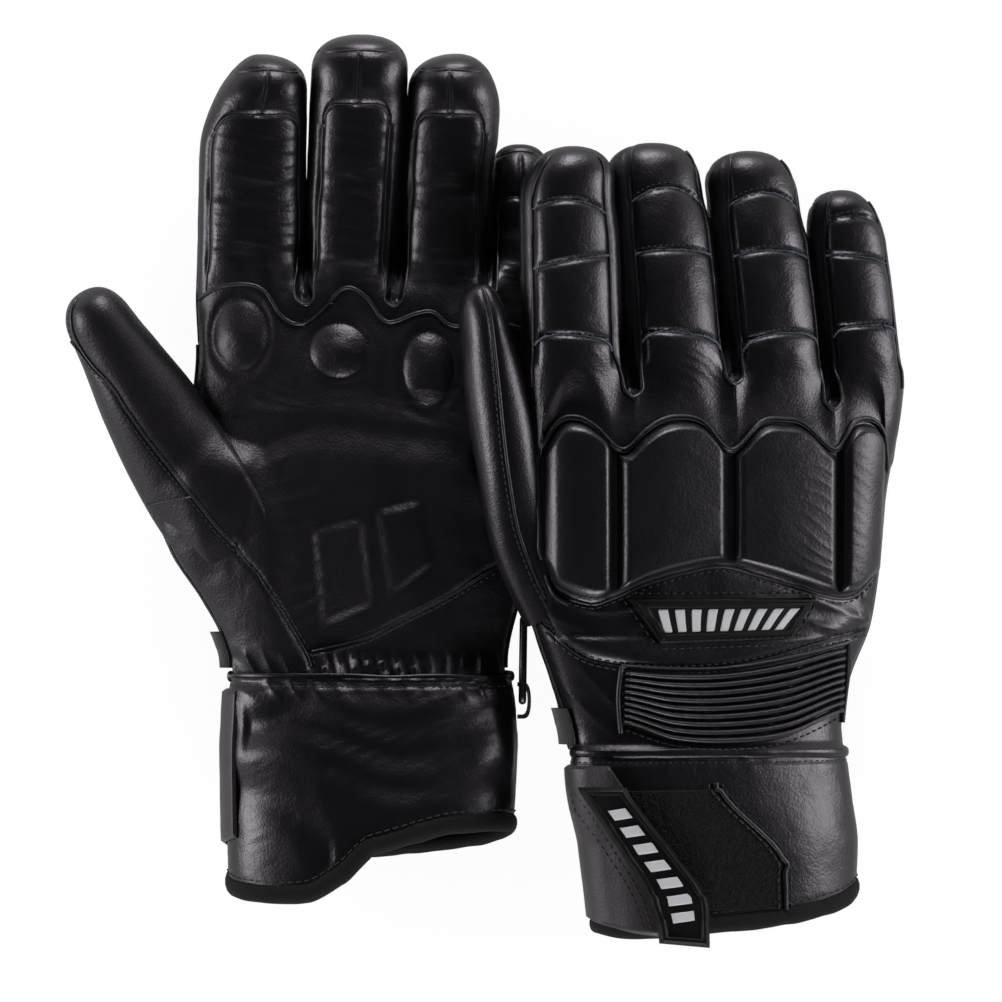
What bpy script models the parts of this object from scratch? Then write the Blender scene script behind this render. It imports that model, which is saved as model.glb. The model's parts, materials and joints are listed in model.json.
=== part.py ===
"""A pair of padded leather riding gloves lying on a table, one palm up and one back up.

Both gloves are the same design. Each is described in its own frame: x runs across the hand
with the thumb at -x, y runs from the cuff to the fingertips, and d runs from the palm to the
back of the hand. The left glove lies on its back (d points down), the right glove lies on its
palm and leans on the left one.
"""
import math

import bmesh
import bpy
from mathutils import Matrix, Vector

MM = 0.001

# Walls and clearances
GAP = 0.4 * MM             # between neighbouring solids
SEWN_GAP = 0.6 * MM        # between a piece and the rounded leather that it is sewn on
SHELL = 2.4 * MM           # leather with its backing, in the hand and the fingers
CUFF_WALL = 2.4 * MM       # leather, foam and lining of the gauntlet
LINER = 1.2 * MM           # knitted liner inside the hand and the gauntlet
LINER_GAP = 1.2 * MM       # its clearance, as its sections are coarser than the shells'
SEAM_ANGLE = math.radians(0.3)   # half the opening between the back and palm shells at the side seam
SECTION_POWER = 2.5        # squareness of the hand's cross-section, 2 is an ellipse
FINGER_POWER = 2.2
CUFF_POWER = 2.3

# Hand protection
PAD_RISE = 4.0 * MM        # foam knuckle pads
PALM_PAD_RISE = 2.2 * MM
HEEL_PAD_RISE = 2.6 * MM
BADGE_RISE = 2.0 * MM
RIB_BASE = 1.4 * MM
RIB_RISE = 1.3 * MM
RIB_COUNT = 7

# Closure on the gauntlet, stacked outwards from the leather
LOOP_RISE = 1.2 * MM
HOOK_RISE = 1.0 * MM
STRAP_RISE = 1.6 * MM
TAB_RISE = 1.8 * MM
LOOP_LIFT = SEWN_GAP
HOOK_LIFT = LOOP_LIFT + LOOP_RISE + GAP
STRAP_LIFT = HOOK_LIFT + HOOK_RISE + GAP
TAB_LIFT = STRAP_LIFT + STRAP_RISE + SEWN_GAP + 0.1 * MM
STRAP_TOP = -4.0 * MM      # upper edge of the strap, below the cuff seam
STRAP_LENGTH = 55.0 * MM   # along the arm
STRAP_HINGE = math.radians(160)   # where the strap turns from the side onto the back
STRAP_ROOT = math.radians(205)
TAB_TOP = -12.0 * MM
TAB_WIDTH = 10.0 * MM      # at its upper end
TAB_SPREAD = 5.5 * MM      # how much wider it is at its lower end

# Binding and webbing
BINDING_RADIUS = 2.2 * MM
WEBBING = 1.2 * MM
LOOP_BULGE = 5.2 * MM      # half the pull loop's height, and how far it stands out
LOOP_LOW = 3.0 * MM
LOOP_WIDTH = 12.0 * MM
WIRE_RADIUS = 1.3 * MM
CLIP_LOW = -14.0 * MM
CLIP_TAPE_LENGTH = 12.0 * MM
CLIP_TAPE_HALF = 4.0 * MM
CLIP_RING_LENGTH = 27.0 * MM

PAIR_CENTRING = Vector((5.87, -2.67, -0.6)) * MM   # puts the pair's box over the origin

FINGERS = ("index", "middle", "ring", "little")


class Glove:
    """The shape of one glove, in metres, in its own frame."""

    def __init__(self, name, facing, origin, tilt, hand, cuff, hem, fingers, thumb, pads, heel):
        self.name = name
        self.facing = facing        # +1 with its back up, -1 with its palm up
        self.origin = Vector(origin)
        self.turn = Matrix.Rotation(tilt, 3, "Y")
        self.hand = hand            # (y, centre x, half width, height of the back, depth of the palm)
        self.cuff = cuff            # the same, below the wrist
        self.hem = hem              # (angle round the cuff in degrees, y of its edge)
        self.fingers = fingers
        self.thumb = thumb
        self.pads = pads
        self.heel = heel
        self.wrist_y = hand[0][0]
        self.crotch_y = hand[-1][0]

    def place(self, x, y, d):
        """The row frame's point for a point of the glove's own frame."""
        return self.turn @ Vector((x, y, self.facing * d)) + self.origin + PAIR_CENTRING


def mm(*values):
    """Millimetres as metres."""
    return tuple(value * MM for value in values)


def stations(*rows):
    return [mm(*row) for row in rows]


RIGHT = Glove(
    "right", 1, mm(66.9, -83.7, 28.6), math.radians(16.5),
    hand=stations((1, 2, 47, 17, 17), (10, 1, 47.5, 16, 16), (25, 0, 51.5, 16, 16),
                  (42, 0, 57.5, 17, 16), (62, -0.5, 61, 17.5, 16), (84, 0.2, 62.5, 17.5, 15.5),
                  (104, 2.2, 64, 17, 14.5), (120, 3.4, 65.5, 14.5, 12.5)),
    cuff=stations((0, 2.2, 48, 18, 19), (-14, 3.0, 48.2, 18.4, 19.4), (-30, 6.0, 47.2, 19, 20),
                  (-64, 6.8, 44, 19, 21)),
    hem=((0, -43), (45, -49), (90, -54), (135, -58), (180, -59), (225, -60), (255, -59), (285, -50), (320, -46)),
    fingers={
        "index": dict(root=(-45.6, 3.0), width=29.8, height=26, length=81, lean=-0.5, curl=5),
        "middle": dict(root=(-9.0, 3.0), width=31.6, height=26, length=83, lean=-6.5, curl=19),
        "ring": dict(root=(25.2, 2.5), width=30.4, height=25, length=80.5, lean=-7.0, curl=14),
        "little": dict(root=(57.0, 2.0), width=24.4, height=22, length=67.5, lean=-7.5, curl=4),
    },
    thumb=dict(path=((-77.5, 155.5, -2), (-74.9, 140.7, -2), (-71.2, 120, -1), (-66.6, 94, 0), (-62.5, 75, 0),
                     (-57, 61, 0), (-50, 47, 0)),
               split=42,
               half_widths=((0, 7.6), (15, 7.8), (36, 10.2), (62, 11), (83, 11.5), (98, 12), (114, 12)),
               half_heights=((0, 9.0), (12, 10.5), (42, 11.2), (62, 10.6), (78, 9.4), (114, 8.6)),),
    pads={"index": (-44.4, 19.5), "middle": (-13.4, 34), "ring": (24.4, 33), "little": (51.2, 14)},
    heel=((-22, 24, 16), (-1.6, 31.5, 15)),
)

LEFT = Glove(
    "left", -1, mm(-44.7, -58.7, 22.4), 0.0,
    hand=stations((1, 0.5, 45.5, 16, 15), (10, 0, 46.5, 16, 14.5), (25, -2, 52, 17, 14.5),
                  (42, -6, 59, 17.5, 14.5), (60, -6.5, 63.5, 17.5, 14.5), (80, -1, 59.5, 17.5, 14),
                  (104, 2, 58.5, 17, 13.5), (125, 3, 60, 14.5, 12)),
    cuff=stations((0, 1.2, 47, 17, 21), (-12, 1.5, 47.5, 16, 23), (-26, 1.5, 48, 13.8, 24),
                  (-74, 0.5, 46, 13.6, 24)),
    hem=((0, -47), (45, -52), (90, -56), (135, -60), (180, -68), (215, -70), (245, -69), (268, -54), (300, -47)),
    fingers={
        "index": dict(root=(-38.8, 2.0), width=33.0, height=26, length=81.5, lean=1.5, curl=10),
        "middle": dict(root=(-5.8, 2.0), width=31.4, height=26, length=88, lean=3.4, curl=12),
        "ring": dict(root=(24.9, 2.6), width=29.5, height=25, length=82, lean=6.0, curl=12),
        "little": dict(root=(50.6, 8.0), width=20.4, height=21, length=53, lean=0.5, curl=-7),
    },
    thumb=dict(path=((-95.5, 128.5, -4), (-82, 106, -3), (-69, 84, -2), (-57, 64, -1), (-46, 46, 0)),
               split=44,
               half_widths=((0, 10), (12, 11), (25, 13), (44, 16), (62, 18), (84, 18), (98, 16)),
               half_heights=((0, 10), (12, 11.5), (44, 12.2), (62, 12.2), (98, 11)),),
    pads={"index": (-38.8, 23), "middle": (-6.4, 31), "ring": (25.6, 31), "little": (49.6, 13)},
    heel=((-8, 35, 16), (12.4, 42.5, 15)),
)


# ---------------------------------------------------------------- curves and sections

def smooth(rows, at):
    """Columns 1.. of rows, read at column 0 = at, on a smooth curve through the rows."""
    rows = sorted(rows)
    if at <= rows[0][0]:
        return rows[0][1:]
    if at >= rows[-1][0]:
        return rows[-1][1:]
    k = max(i for i in range(len(rows) - 1) if rows[i][0] <= at)
    before, low, high = rows[max(k - 1, 0)], rows[k], rows[k + 1]
    after = rows[min(k + 2, len(rows) - 1)]
    t = (at - low[0]) / (high[0] - low[0])
    found = []
    for column in range(1, len(low)):
        p0, p1, p2, p3 = (row[column] for row in (before, low, high, after))
        found.append(0.5 * (2 * p1 + (p2 - p0) * t + (2 * p0 - 5 * p1 + 4 * p2 - p3) * t ** 2
                            + (3 * p1 - p0 - 3 * p2 + p3) * t ** 3))
    return tuple(found)


def round_the_hem(glove, angle):
    """y of the cuff's edge at an angle round it, on a smooth closed curve."""
    degrees = math.degrees(angle) % 360
    rows = [(a - 360, y * MM) for a, y in glove.hem] + [(a, y * MM) for a, y in glove.hem]
    rows += [(a + 360, y * MM) for a, y in glove.hem]
    return smooth(rows, degrees)[0]


def superellipse(half_width, top, bottom, power, angle, lift=0.0):
    """(across, up) on an oval section with a different height above and below, moved out by lift."""
    height = top if math.sin(angle) >= 0 else bottom
    across = half_width * math.copysign(abs(math.cos(angle)) ** (2 / power), math.cos(angle))
    up = height * math.copysign(abs(math.sin(angle)) ** (2 / power), math.sin(angle))
    normal = Vector((math.copysign(abs(across / half_width) ** (power - 1) / half_width, across),
                     math.copysign(abs(up / height) ** (power - 1) / height, up))).normalized()
    return across + lift * normal.x, up + lift * normal.y


def on_hand(glove, angle, y, lift=0.0):
    """A point of the hand's outside, angle 0 at the little finger's side and 90 degrees on the back."""
    centre, half, back, palm = smooth(glove.hand, y)
    across, up = superellipse(half, back, palm, SECTION_POWER, angle, lift)
    return Vector((centre + across, y, up))


def on_cuff(glove, angle, y, lift=0.0):
    centre, half, back, palm = smooth(glove.cuff, y)
    across, up = superellipse(half, back, palm, CUFF_POWER, angle, lift)
    return Vector((centre + across, y, up))


def angle_over(rows, power, x, y, face):
    """The angle round the section at y under which x lies, on the back (face +1) or the palm (face -1)."""
    centre, half = smooth(rows, y)[:2]
    across = max(-0.995, min(0.995, (x - centre) / half))
    return face * math.acos(math.copysign(abs(across) ** (power / 2), across))


def over(rows, power, x, y, face, lift):
    """The point above (x, y) on the back or the palm of the hand or the cuff."""
    centre, half, back, palm = smooth(rows, y)
    out, rise = superellipse(half, back, palm, power, angle_over(rows, power, x, y, face), lift)
    return Vector((centre + out, y, rise))


# ---------------------------------------------------------------- making objects

def material(name, colour, roughness, metallic=0.0):
    made = bpy.data.materials.new(name)
    made.use_nodes = True
    shader = made.node_tree.nodes["Principled BSDF"]
    shader.inputs["Base Color"].default_value = (*colour, 1.0)
    shader.inputs["Roughness"].default_value = roughness
    shader.inputs["Metallic"].default_value = metallic
    return made


def new_object(name, mesh, finish, collection):
    mesh.materials.append(finish)
    made = bpy.data.objects.new(name, mesh)
    collection.objects.link(made)
    mesh.shade_smooth()
    mesh.set_sharp_from_angle(angle=math.radians(40))
    return made


def grid_mesh(name, glove, point, across, along, closed=False, pole=False, around=False):
    """An open surface on a grid: point(u, v) for u across and v along, both from 0 to 1.

    closed joins the last column to the first, and pole ends the last row in one point. around is
    for a u that follows the angle round a section, so that the faces still look outwards.
    """
    shape = bmesh.new()
    columns = across if closed else across + 1
    rows = []
    for j in range(along + 1):
        v = j / along
        if pole and j == along:
            rows.append([shape.verts.new(glove.place(*point(0, v)))])
            continue
        rows.append([shape.verts.new(glove.place(*point(i / across, v))) for i in range(columns)])
    for low, high in zip(rows, rows[1:]):
        for i in range(across):
            ahead = (i + 1) % columns
            corners = [low[i], low[ahead]]
            corners += [high[0]] if len(high) == 1 else [high[ahead], high[i]]
            shape.faces.new(corners if (glove.facing > 0) != around else corners[::-1])
    mesh = bpy.data.meshes.new(name)
    shape.to_mesh(mesh)
    shape.free()
    return mesh


def sheet(glove, name, point, across, along, thickness, finish, collection,
          closed=False, pole=False, around=False, over_it=False):
    """A piece of even thickness under the surface point(u, v), or over it."""
    mesh = grid_mesh(name, glove, point, across, along, closed, pole, around or closed)
    made = new_object(f"{glove.name}_{name}", mesh, finish, collection)
    thick = made.modifiers.new("Thickness", "SOLIDIFY")
    thick.thickness = thickness
    thick.offset = 1 if over_it else -1
    thick.use_even_offset = True
    return made


def block(glove, name, inner, outer, across, along, finish, collection):
    """A closed pad between an inner and an outer surface over the same grid."""
    shape = bmesh.new()
    layers = []
    for surface in (inner, outer):
        layers.append([[shape.verts.new(glove.place(*surface(i / across, j / along)))
                        for i in range(across + 1)] for j in range(along + 1)])
    low, high = layers
    for j in range(along):
        for i in range(across):
            shape.faces.new((high[j][i], high[j][i + 1], high[j + 1][i + 1], high[j + 1][i]))
            shape.faces.new((low[j][i], low[j + 1][i], low[j + 1][i + 1], low[j][i + 1]))
    rim = ([(0, i) for i in range(across)] + [(j, across) for j in range(along)]
           + [(along, i) for i in range(across, 0, -1)] + [(j, 0) for j in range(along, 0, -1)])
    for (j, i), (k, m) in zip(rim, rim[1:] + rim[:1]):
        shape.faces.new((low[j][i], low[k][m], high[k][m], high[j][i]))
    bmesh.ops.recalc_face_normals(shape, faces=shape.faces)
    mesh = bpy.data.meshes.new(name)
    shape.to_mesh(mesh)
    shape.free()
    return new_object(f"{glove.name}_{name}", mesh, finish, collection)


def bar(glove, name, route, radius, finish, collection, sides=1):
    """A closed ring of round section along a route given in the glove's frame."""
    curve = bpy.data.curves.new(name, "CURVE")
    curve.dimensions = "3D"
    curve.bevel_depth = radius
    curve.bevel_resolution = sides
    line = curve.splines.new("POLY")
    line.points.add(len(route) - 1)
    for spot, where in zip(line.points, route):
        spot.co = (*glove.place(*where), 1)
    line.use_cyclic_u = True
    made = bpy.data.objects.new(f"{glove.name}_{name}", curve)
    curve.materials.append(finish)
    collection.objects.link(made)
    return made


def cut(piece, cutter):
    """Takes the cutter's shape out of a piece."""
    slot = piece.modifiers.new("Hole", "BOOLEAN")
    slot.operation = "DIFFERENCE"
    slot.solver = "EXACT"
    slot.object = cutter


# ---------------------------------------------------------------- the glove's pieces

def finger_frame(glove, finger, s):
    """(centre, slope) of a finger at a length s from its root; it curls towards the palm."""
    root_x, root_d = mm(*finger["root"])
    length = finger["length"] * MM
    curvature = math.radians(finger["curl"]) / length
    slope = curvature * s
    forward = math.sin(slope) / curvature
    drop = (1 - math.cos(slope)) / curvature
    x = root_x + finger["lean"] * MM * s / length
    return Vector((x, glove.crotch_y + GAP + forward, root_d - drop)), slope


def finger_point(glove, finger, u, v):
    """The outside of a finger stall: a superellipse round its centre line, closed by a round tip."""
    length, half_width, half_height = mm(finger["length"], finger["width"] / 2, finger["height"] / 2)
    tip = half_width * 0.98
    straight = length - tip
    rows_straight = 0.62
    if v <= rows_straight:
        s, size = straight * v / rows_straight, 1.0
    else:
        turn = (v - rows_straight) / (1 - rows_straight) * math.pi / 2
        s, size = straight + tip * math.sin(turn), math.cos(turn) ** 0.85
    size *= 1.0 - 0.08 * (1 - min(1.0, s / (35 * MM))) ** 2 - 0.05 * (s / length) ** 2
    centre, slope = finger_frame(glove, finger, s)
    angle = 2 * math.pi * (u + 0.5 / STALL_SIDES)
    across, up = superellipse(half_width, half_height, half_height, FINGER_POWER, angle)
    across, up = across * size, up * size
    return centre + Vector((across, up * math.sin(slope), up * math.cos(slope)))


STALL_SIDES = 14
STALL_ROWS = 8


def finger_stalls(glove, finish, collection):
    for name in FINGERS:
        finger = glove.fingers[name]
        sheet(glove, f"{name}_stall", lambda u, v, f=finger: finger_point(glove, f, u, v),
              STALL_SIDES, STALL_ROWS, SHELL, finish, collection, closed=True, pole=True)


def thumb_frame(glove, s):
    """(centre, forward, side, rise) of the thumb at a length s from its tip along its bent centre line."""
    spots = [Vector(mm(*spot)) for spot in glove.thumb["path"]]
    rows, run = [], 0.0
    for before, spot in zip([spots[0]] + spots, spots):
        run += (spot - before).length
        rows.append((run, *spot))
    step = 2 * MM
    s = min(max(s, 0.0), run)
    low, high = max(s - step, 0.0), min(s + step, run)
    axis = (Vector(smooth(rows, high)) - Vector(smooth(rows, low))).normalized()
    side = Vector((-axis.y, axis.x, 0)).normalized()
    if side.x < 0:
        side = -side
    rise = axis.cross(side)
    if rise.z < 0:
        rise = -rise
    return Vector(smooth(rows, s)), axis, side, rise


def thumb_length(glove):
    spots = [Vector(mm(*spot)) for spot in glove.thumb["path"]]
    return sum((after - before).length for before, after in zip(spots, spots[1:]))


def thumb_point(glove, s, u, lift=0.0):
    """The outside of the thumb at a length s from its tip."""
    centre, _, side, rise = thumb_frame(glove, s)
    width = smooth(glove.thumb["half_widths"], s / MM)[0] * MM
    height = smooth(glove.thumb["half_heights"], s / MM)[0] * MM
    round_off = 14 * MM
    size = math.sqrt(max(0.0, 1 - (1 - s / round_off) ** 2)) if s < round_off else 1.0
    across, up = superellipse(width, height, height, FINGER_POWER,
                              2 * math.pi * (u + 0.5 / STALL_SIDES), lift)
    return centre + side * across * size + rise * up * size


def thumb_pieces(glove, finish, collection, cutters):
    """The moving thumb stall, and the cone that carries it out of the hand."""
    split = glove.thumb["split"] * MM
    length = thumb_length(glove)

    def stall(u, v):
        return thumb_point(glove, (split - GAP) * (1 - v) ** 1.35, u)

    def cone(u, v):
        return thumb_point(glove, length + (split - length) * v, u)

    sheet(glove, "thumb_stall", stall, STALL_SIDES, STALL_ROWS - 1, SHELL, finish, collection, closed=True, pole=True)
    sheet(glove, "thumb_base", cone, STALL_SIDES, 4, SHELL, finish, collection, closed=True)

    def outside(u, v):
        s = length + 3 * MM + (split - 24 * MM - length) * v
        spot = thumb_point(glove, s, u, lift=2 * GAP)
        return spot + thumb_frame(glove, length)[1] * max(0.0, s - length)

    mesh = grid_mesh("thumb_cutter", glove, outside, STALL_SIDES, 5, closed=True, around=True)
    shape = bmesh.new()
    shape.from_mesh(mesh)
    bmesh.ops.holes_fill(shape, edges=shape.edges, sides=0)
    bmesh.ops.recalc_face_normals(shape, faces=shape.faces)
    shape.to_mesh(mesh)
    shape.free()
    cutter = bpy.data.objects.new(f"{glove.name}_thumb_cutter", mesh)
    cutters.objects.link(cutter)
    cutter.hide_render = True
    cutter.display_type = "WIRE"
    return cutter


def hand_shells(glove, finish, collection, cutter):
    """The back and the palm of the hand, each a shell from the wrist to the roots of the fingers."""
    top = glove.crotch_y - GAP
    for name, start in (("back_shell", 0.0), ("palm_shell", math.pi)):
        def outer(u, v, start=start, lift=0.0):
            angle = start + SEAM_ANGLE + (math.pi - 2 * SEAM_ANGLE) * u
            return on_hand(glove, angle, glove.wrist_y + (top - glove.wrist_y) * v, lift)

        def inner(u, v, outer=outer):
            return outer(u, v, lift=-SHELL)

        piece = block(glove, name, inner, outer, 16, 7, finish, collection)
        cut(piece, cutter)


def liner(glove, finish, collection, cutter):
    """The liner lies inside the shells and the gauntlet, open at the wrist end and at the fingers."""
    inset = -(SHELL + LINER_GAP)
    top = glove.crotch_y - 3 * MM
    bottom = -40 * MM

    def point(u, v):
        y = bottom + (top - bottom) * v
        angle = 2 * math.pi * u
        if y > -9 * MM:
            return on_hand(glove, angle, y, inset)
        blend = min(1.0, (-9 * MM - y) / (14 * MM))
        blend = blend * blend * (3 - 2 * blend)
        inside_hand = on_hand(glove, angle, glove.wrist_y, inset)
        inside_cuff = on_cuff(glove, angle, y, inset)
        mixed = inside_hand.lerp(inside_cuff, blend)
        return Vector((mixed.x, y, mixed.z))

    piece = sheet(glove, "liner", point, 18, 10, LINER, finish, collection, closed=True)
    cut(piece, cutter)


def knuckle_pads(glove, finish, collection):
    """Four foam pads over the knuckles: flat outside, following the hand inside, with arched tops."""
    middle = sum(glove.pads[name][0] for name in ("middle", "ring")) / 2 * MM
    for name in FINGERS:
        centre, width = mm(*glove.pads[name])
        outer_pair = name in ("index", "little")
        top = glove.crotch_y - (10 if outer_pair else 7.5) * MM
        crown = 9 * MM
        away = (centre - middle) / (30 * MM)
        level_y = top - 25 * MM
        level = over(glove.hand, SECTION_POWER, centre, level_y, 1, SEWN_GAP + PAD_RISE)
        if outer_pair:
            step = 4 * MM
            beside = over(glove.hand, SECTION_POWER, centre + step, level_y, 1, GAP + PAD_RISE)
            other = over(glove.hand, SECTION_POWER, centre - step, level_y, 1, GAP + PAD_RISE)
            slope = (beside.z - other.z) / (beside.x - other.x)
            plane = level.z + 0.4 * MM
        else:
            slope = 0.0
            plane = smooth(glove.hand, level_y)[2] + GAP + PAD_RISE

        def outline(u, v, centre=centre, width=width, top=top, crown=crown, away=away):
            x = centre + width * (u - 0.5)
            end = top - crown * (2 * u - 1) ** 2
            start = glove.crotch_y - 62 * MM + 3.5 * MM * (x - middle) ** 2 / (20 * MM) ** 2 * -0.5
            return x, start + (end - start) * v

        def inner(u, v):
            x, y = outline(u, v)
            return over(glove.hand, SECTION_POWER, x, y, 1, SEWN_GAP)

        def outer(u, v, slope=slope, plane=plane, centre=centre, width=width):
            shrink = 0.06
            x, y = outline(shrink + (1 - 2 * shrink) * u, shrink / 2 + (1 - shrink) * v)
            return Vector((x, y, plane + slope * (x - centre)))

        block(glove, f"{name}_knuckle_pad", inner, outer, 5, 5, finish, collection)


def palm_pads(glove, finish, collection):
    """Oval pads under the roots of three fingers, and two slanted pads on the heel of the palm."""
    for name in FINGERS[:3]:
        centre = glove.fingers[name]["root"][0] * MM + 1 * MM
        middle_y = glove.crotch_y - 20 * MM
        half_width, half_length = mm(8.5, 12)

        def spot(u, v, lift, centre=centre, middle_y=middle_y):
            a, b = 2 * u - 1, 2 * v - 1
            x = centre + half_width * a * math.sqrt(1 - b * b / 2)
            y = middle_y + half_length * b * math.sqrt(1 - a * a / 2)
            return over(glove.hand, SECTION_POWER, x, y, -1, lift)

        def inner(u, v):
            return spot(u, v, SEWN_GAP)

        def outer(u, v):
            return spot(0.15 + 0.7 * u, 0.15 + 0.7 * v, SEWN_GAP + PALM_PAD_RISE)

        block(glove, f"{name}_palm_pad", inner, outer, 4, 4, finish, collection)
    for number, (x, y, half_length) in enumerate(glove.heel):
        centre_x, centre_y, half = mm(x, y, half_length)
        half_width = 8.5 * MM
        skew = -0.2 if number else -0.12

        def corner(u, v, lift, shrink, centre_x=centre_x, centre_y=centre_y, half=half, skew=skew):
            a, b = (2 * u - 1) * shrink, (2 * v - 1) * shrink
            dy = half * b + 3 * MM * a
            return over(glove.hand, SECTION_POWER, centre_x + half_width * a + skew * dy, centre_y + dy, -1, lift)

        block(glove, f"heel_pad_{number + 1}", lambda u, v: corner(u, v, SEWN_GAP, 1.0),
              lambda u, v: corner(u, v, SEWN_GAP + HEEL_PAD_RISE, 0.85), 3, 4, finish, collection)


def back_trim(glove, rubber, leather, collection):
    """The blank badge plate and the ribbed stretch panel on the back of the wrist."""
    middle = smooth(glove.hand, 45 * MM)[0] + 2.4 * MM
    badge_top, badge_bottom = 51.5 * MM, 37.5 * MM

    def badge(u, v):
        half = (31.5 - 9 * (1 - v)) * MM
        x = middle + half * (2 * u - 1)
        return over(glove.hand, SECTION_POWER, x, badge_bottom + (badge_top - badge_bottom) * v, 1, SEWN_GAP)

    sheet(glove, "badge_plate", badge, 6, 1, BADGE_RISE, rubber, collection, over_it=True)

    steps = 2 * RIB_COUNT

    def under_ribs(u, v, rise=0.0):
        x = middle + 2.5 * MM + 37.5 * MM * (2 * u - 1)
        sag = 4.5 * MM * (2 * u - 1) ** 2
        y = (5 + 24 * v) * MM + sag * (0.3 + 0.7 * v)
        return over(glove.hand, SECTION_POWER, x, y, 1, SEWN_GAP + GAP + rise)

    def ribs(u, v):
        return under_ribs(u, v, RIB_BASE + (RIB_RISE if round(v * steps) % 2 else 0.0))

    block(glove, "wrist_ribs", under_ribs, ribs, 8, steps, leather, collection)


def gauntlet(glove, leather, binding, collection):
    """The cuff and the binding round its edge."""
    def wall(u, v):
        angle = 2 * math.pi * (u + 0.5 / CUFF_SIDES)
        edge = round_the_hem(glove, angle)
        return on_cuff(glove, angle, edge * (1 - v))

    sheet(glove, "cuff", wall, CUFF_SIDES, 4, CUFF_WALL, leather, collection, closed=True)
    route = []
    turn = 2 * math.pi / CUFF_SIDES
    for i in range(CUFF_SIDES):
        angle = (i + 0.5) * turn
        edge = [round_the_hem(glove, angle + k * turn) for k in (-1, 0, 1)]
        corners = [on_cuff(glove, angle + k * turn, y) for k, y in zip((-1, 0, 1), edge)]
        slope = max(abs(b.y - a.y) / math.hypot(b.x - a.x, b.z - a.z) for a, b in zip(corners, corners[1:]))
        y = edge[1] - (BINDING_RADIUS + 1.5 * GAP) * math.hypot(1, slope)
        spot = on_cuff(glove, angle, y, -CUFF_WALL / 2)
        route.append((spot.x, y, spot.z))
    bar(glove, "hem_binding", route, BINDING_RADIUS, binding, collection)


CUFF_SIDES = 26


def strap_end(v):
    """How far the strap's slanted end reaches over the back of the cuff: x from the cuff's centre line."""
    return (-38.5 + 27 * (1 - v)) * MM


def on_strap(glove, u, v, lift, first, last=None):
    """A point of the strap between two angles, or up to its end; v runs from its lower to its upper edge."""
    y = STRAP_TOP - STRAP_LENGTH * (1 - v)
    if last is None:
        end = smooth(glove.cuff, y)[0] + strap_end(v)
        last = angle_over(glove.cuff, CUFF_POWER, end, y, 1)
    return on_cuff(glove, first + (last - first) * u, y, lift)


def closure(glove, leather, rubber, hook, loop, collection):
    """Loop panel on the cuff, and the strap that closes over it: its sewn root, its flap, tab and hook patch."""
    def loop_panel(u, v):
        left = -33 * MM
        y = -52 * MM + 41 * MM * v
        right = (15.5 - 19 * max(0.0, (v - 0.35) / 0.65)) * MM
        x = left + (right - left) * u
        edge = round_the_hem(glove, math.pi / 2 + 0.2) + 3 * MM
        return over(glove.cuff, CUFF_POWER, smooth(glove.cuff, y)[0] + x, max(y, edge), 1, LOOP_LIFT)

    sheet(glove, "loop_panel", loop_panel, 7, 4, LOOP_RISE, loop, collection, over_it=True)

    turn_in = math.radians(1.2)

    def root(u, v):
        rise = min(1.0, u / 0.55)
        lift = GAP + (STRAP_LIFT - GAP) * rise * rise * (3 - 2 * rise)
        return on_strap(glove, u, v, lift, STRAP_ROOT, STRAP_HINGE + turn_in)

    sheet(glove, "strap_root", root, 6, 3, STRAP_RISE, leather, collection, over_it=True)

    def flap(u, v):
        return on_strap(glove, u, v, STRAP_LIFT, STRAP_HINGE)

    sheet(glove, "strap_flap", flap, 7, 4, STRAP_RISE, leather, collection, over_it=True)

    def tab(u, v):
        along = v * (1 - (STRAP_TOP - TAB_TOP) / STRAP_LENGTH)
        y = STRAP_TOP - STRAP_LENGTH * (1 - along)
        end = smooth(glove.cuff, y)[0] + strap_end(along) + 1.5 * MM
        width = TAB_WIDTH + TAB_SPREAD * (1 - v)
        return over(glove.cuff, CUFF_POWER, end - width * (1 - u), y, 1, TAB_LIFT)

    sheet(glove, "strap_tab", tab, 3, 4, TAB_RISE, rubber, collection, over_it=True)

    def patch(u, v):
        inset = 0.08 + 0.48 * v
        y = STRAP_TOP - STRAP_LENGTH * (1 - inset)
        end = smooth(glove.cuff, y)[0] + strap_end(inset) - 2 * MM
        return over(glove.cuff, CUFF_POWER, end - 12 * MM * (1 - u), y, 1, HOOK_LIFT)

    sheet(glove, "hook_patch", patch, 3, 4, HOOK_RISE, hook, collection, over_it=True)


def beside(glove, y, d, sign, out):
    """The point out from the hand's or the cuff's side at a height d; sign is -1 on the thumb's side."""
    rows, power = (glove.hand, SECTION_POWER) if y > glove.wrist_y - GAP else (glove.cuff, CUFF_POWER)
    centre, half, back, palm = smooth(rows, y)
    height = back if d > 0 else palm
    reach = half * (1 - abs(d / height) ** power) ** (1 / power)
    return Vector((centre + sign * (reach + out), y, d))


def pull_loop(glove, tape, collection):
    """The webbing loop at the thumb's side of the wrist that pulls the glove on."""
    def surface(u, v):
        turn = math.pi * (u - 0.5)
        out = SEWN_GAP + WEBBING + LOOP_BULGE * math.cos(turn) ** 0.7
        return beside(glove, (LOOP_LOW + LOOP_WIDTH * v), LOOP_BULGE * math.sin(turn), -1, out)

    sheet(glove, "pull_loop", surface, 8, 1, WEBBING, tape, collection)


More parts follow.
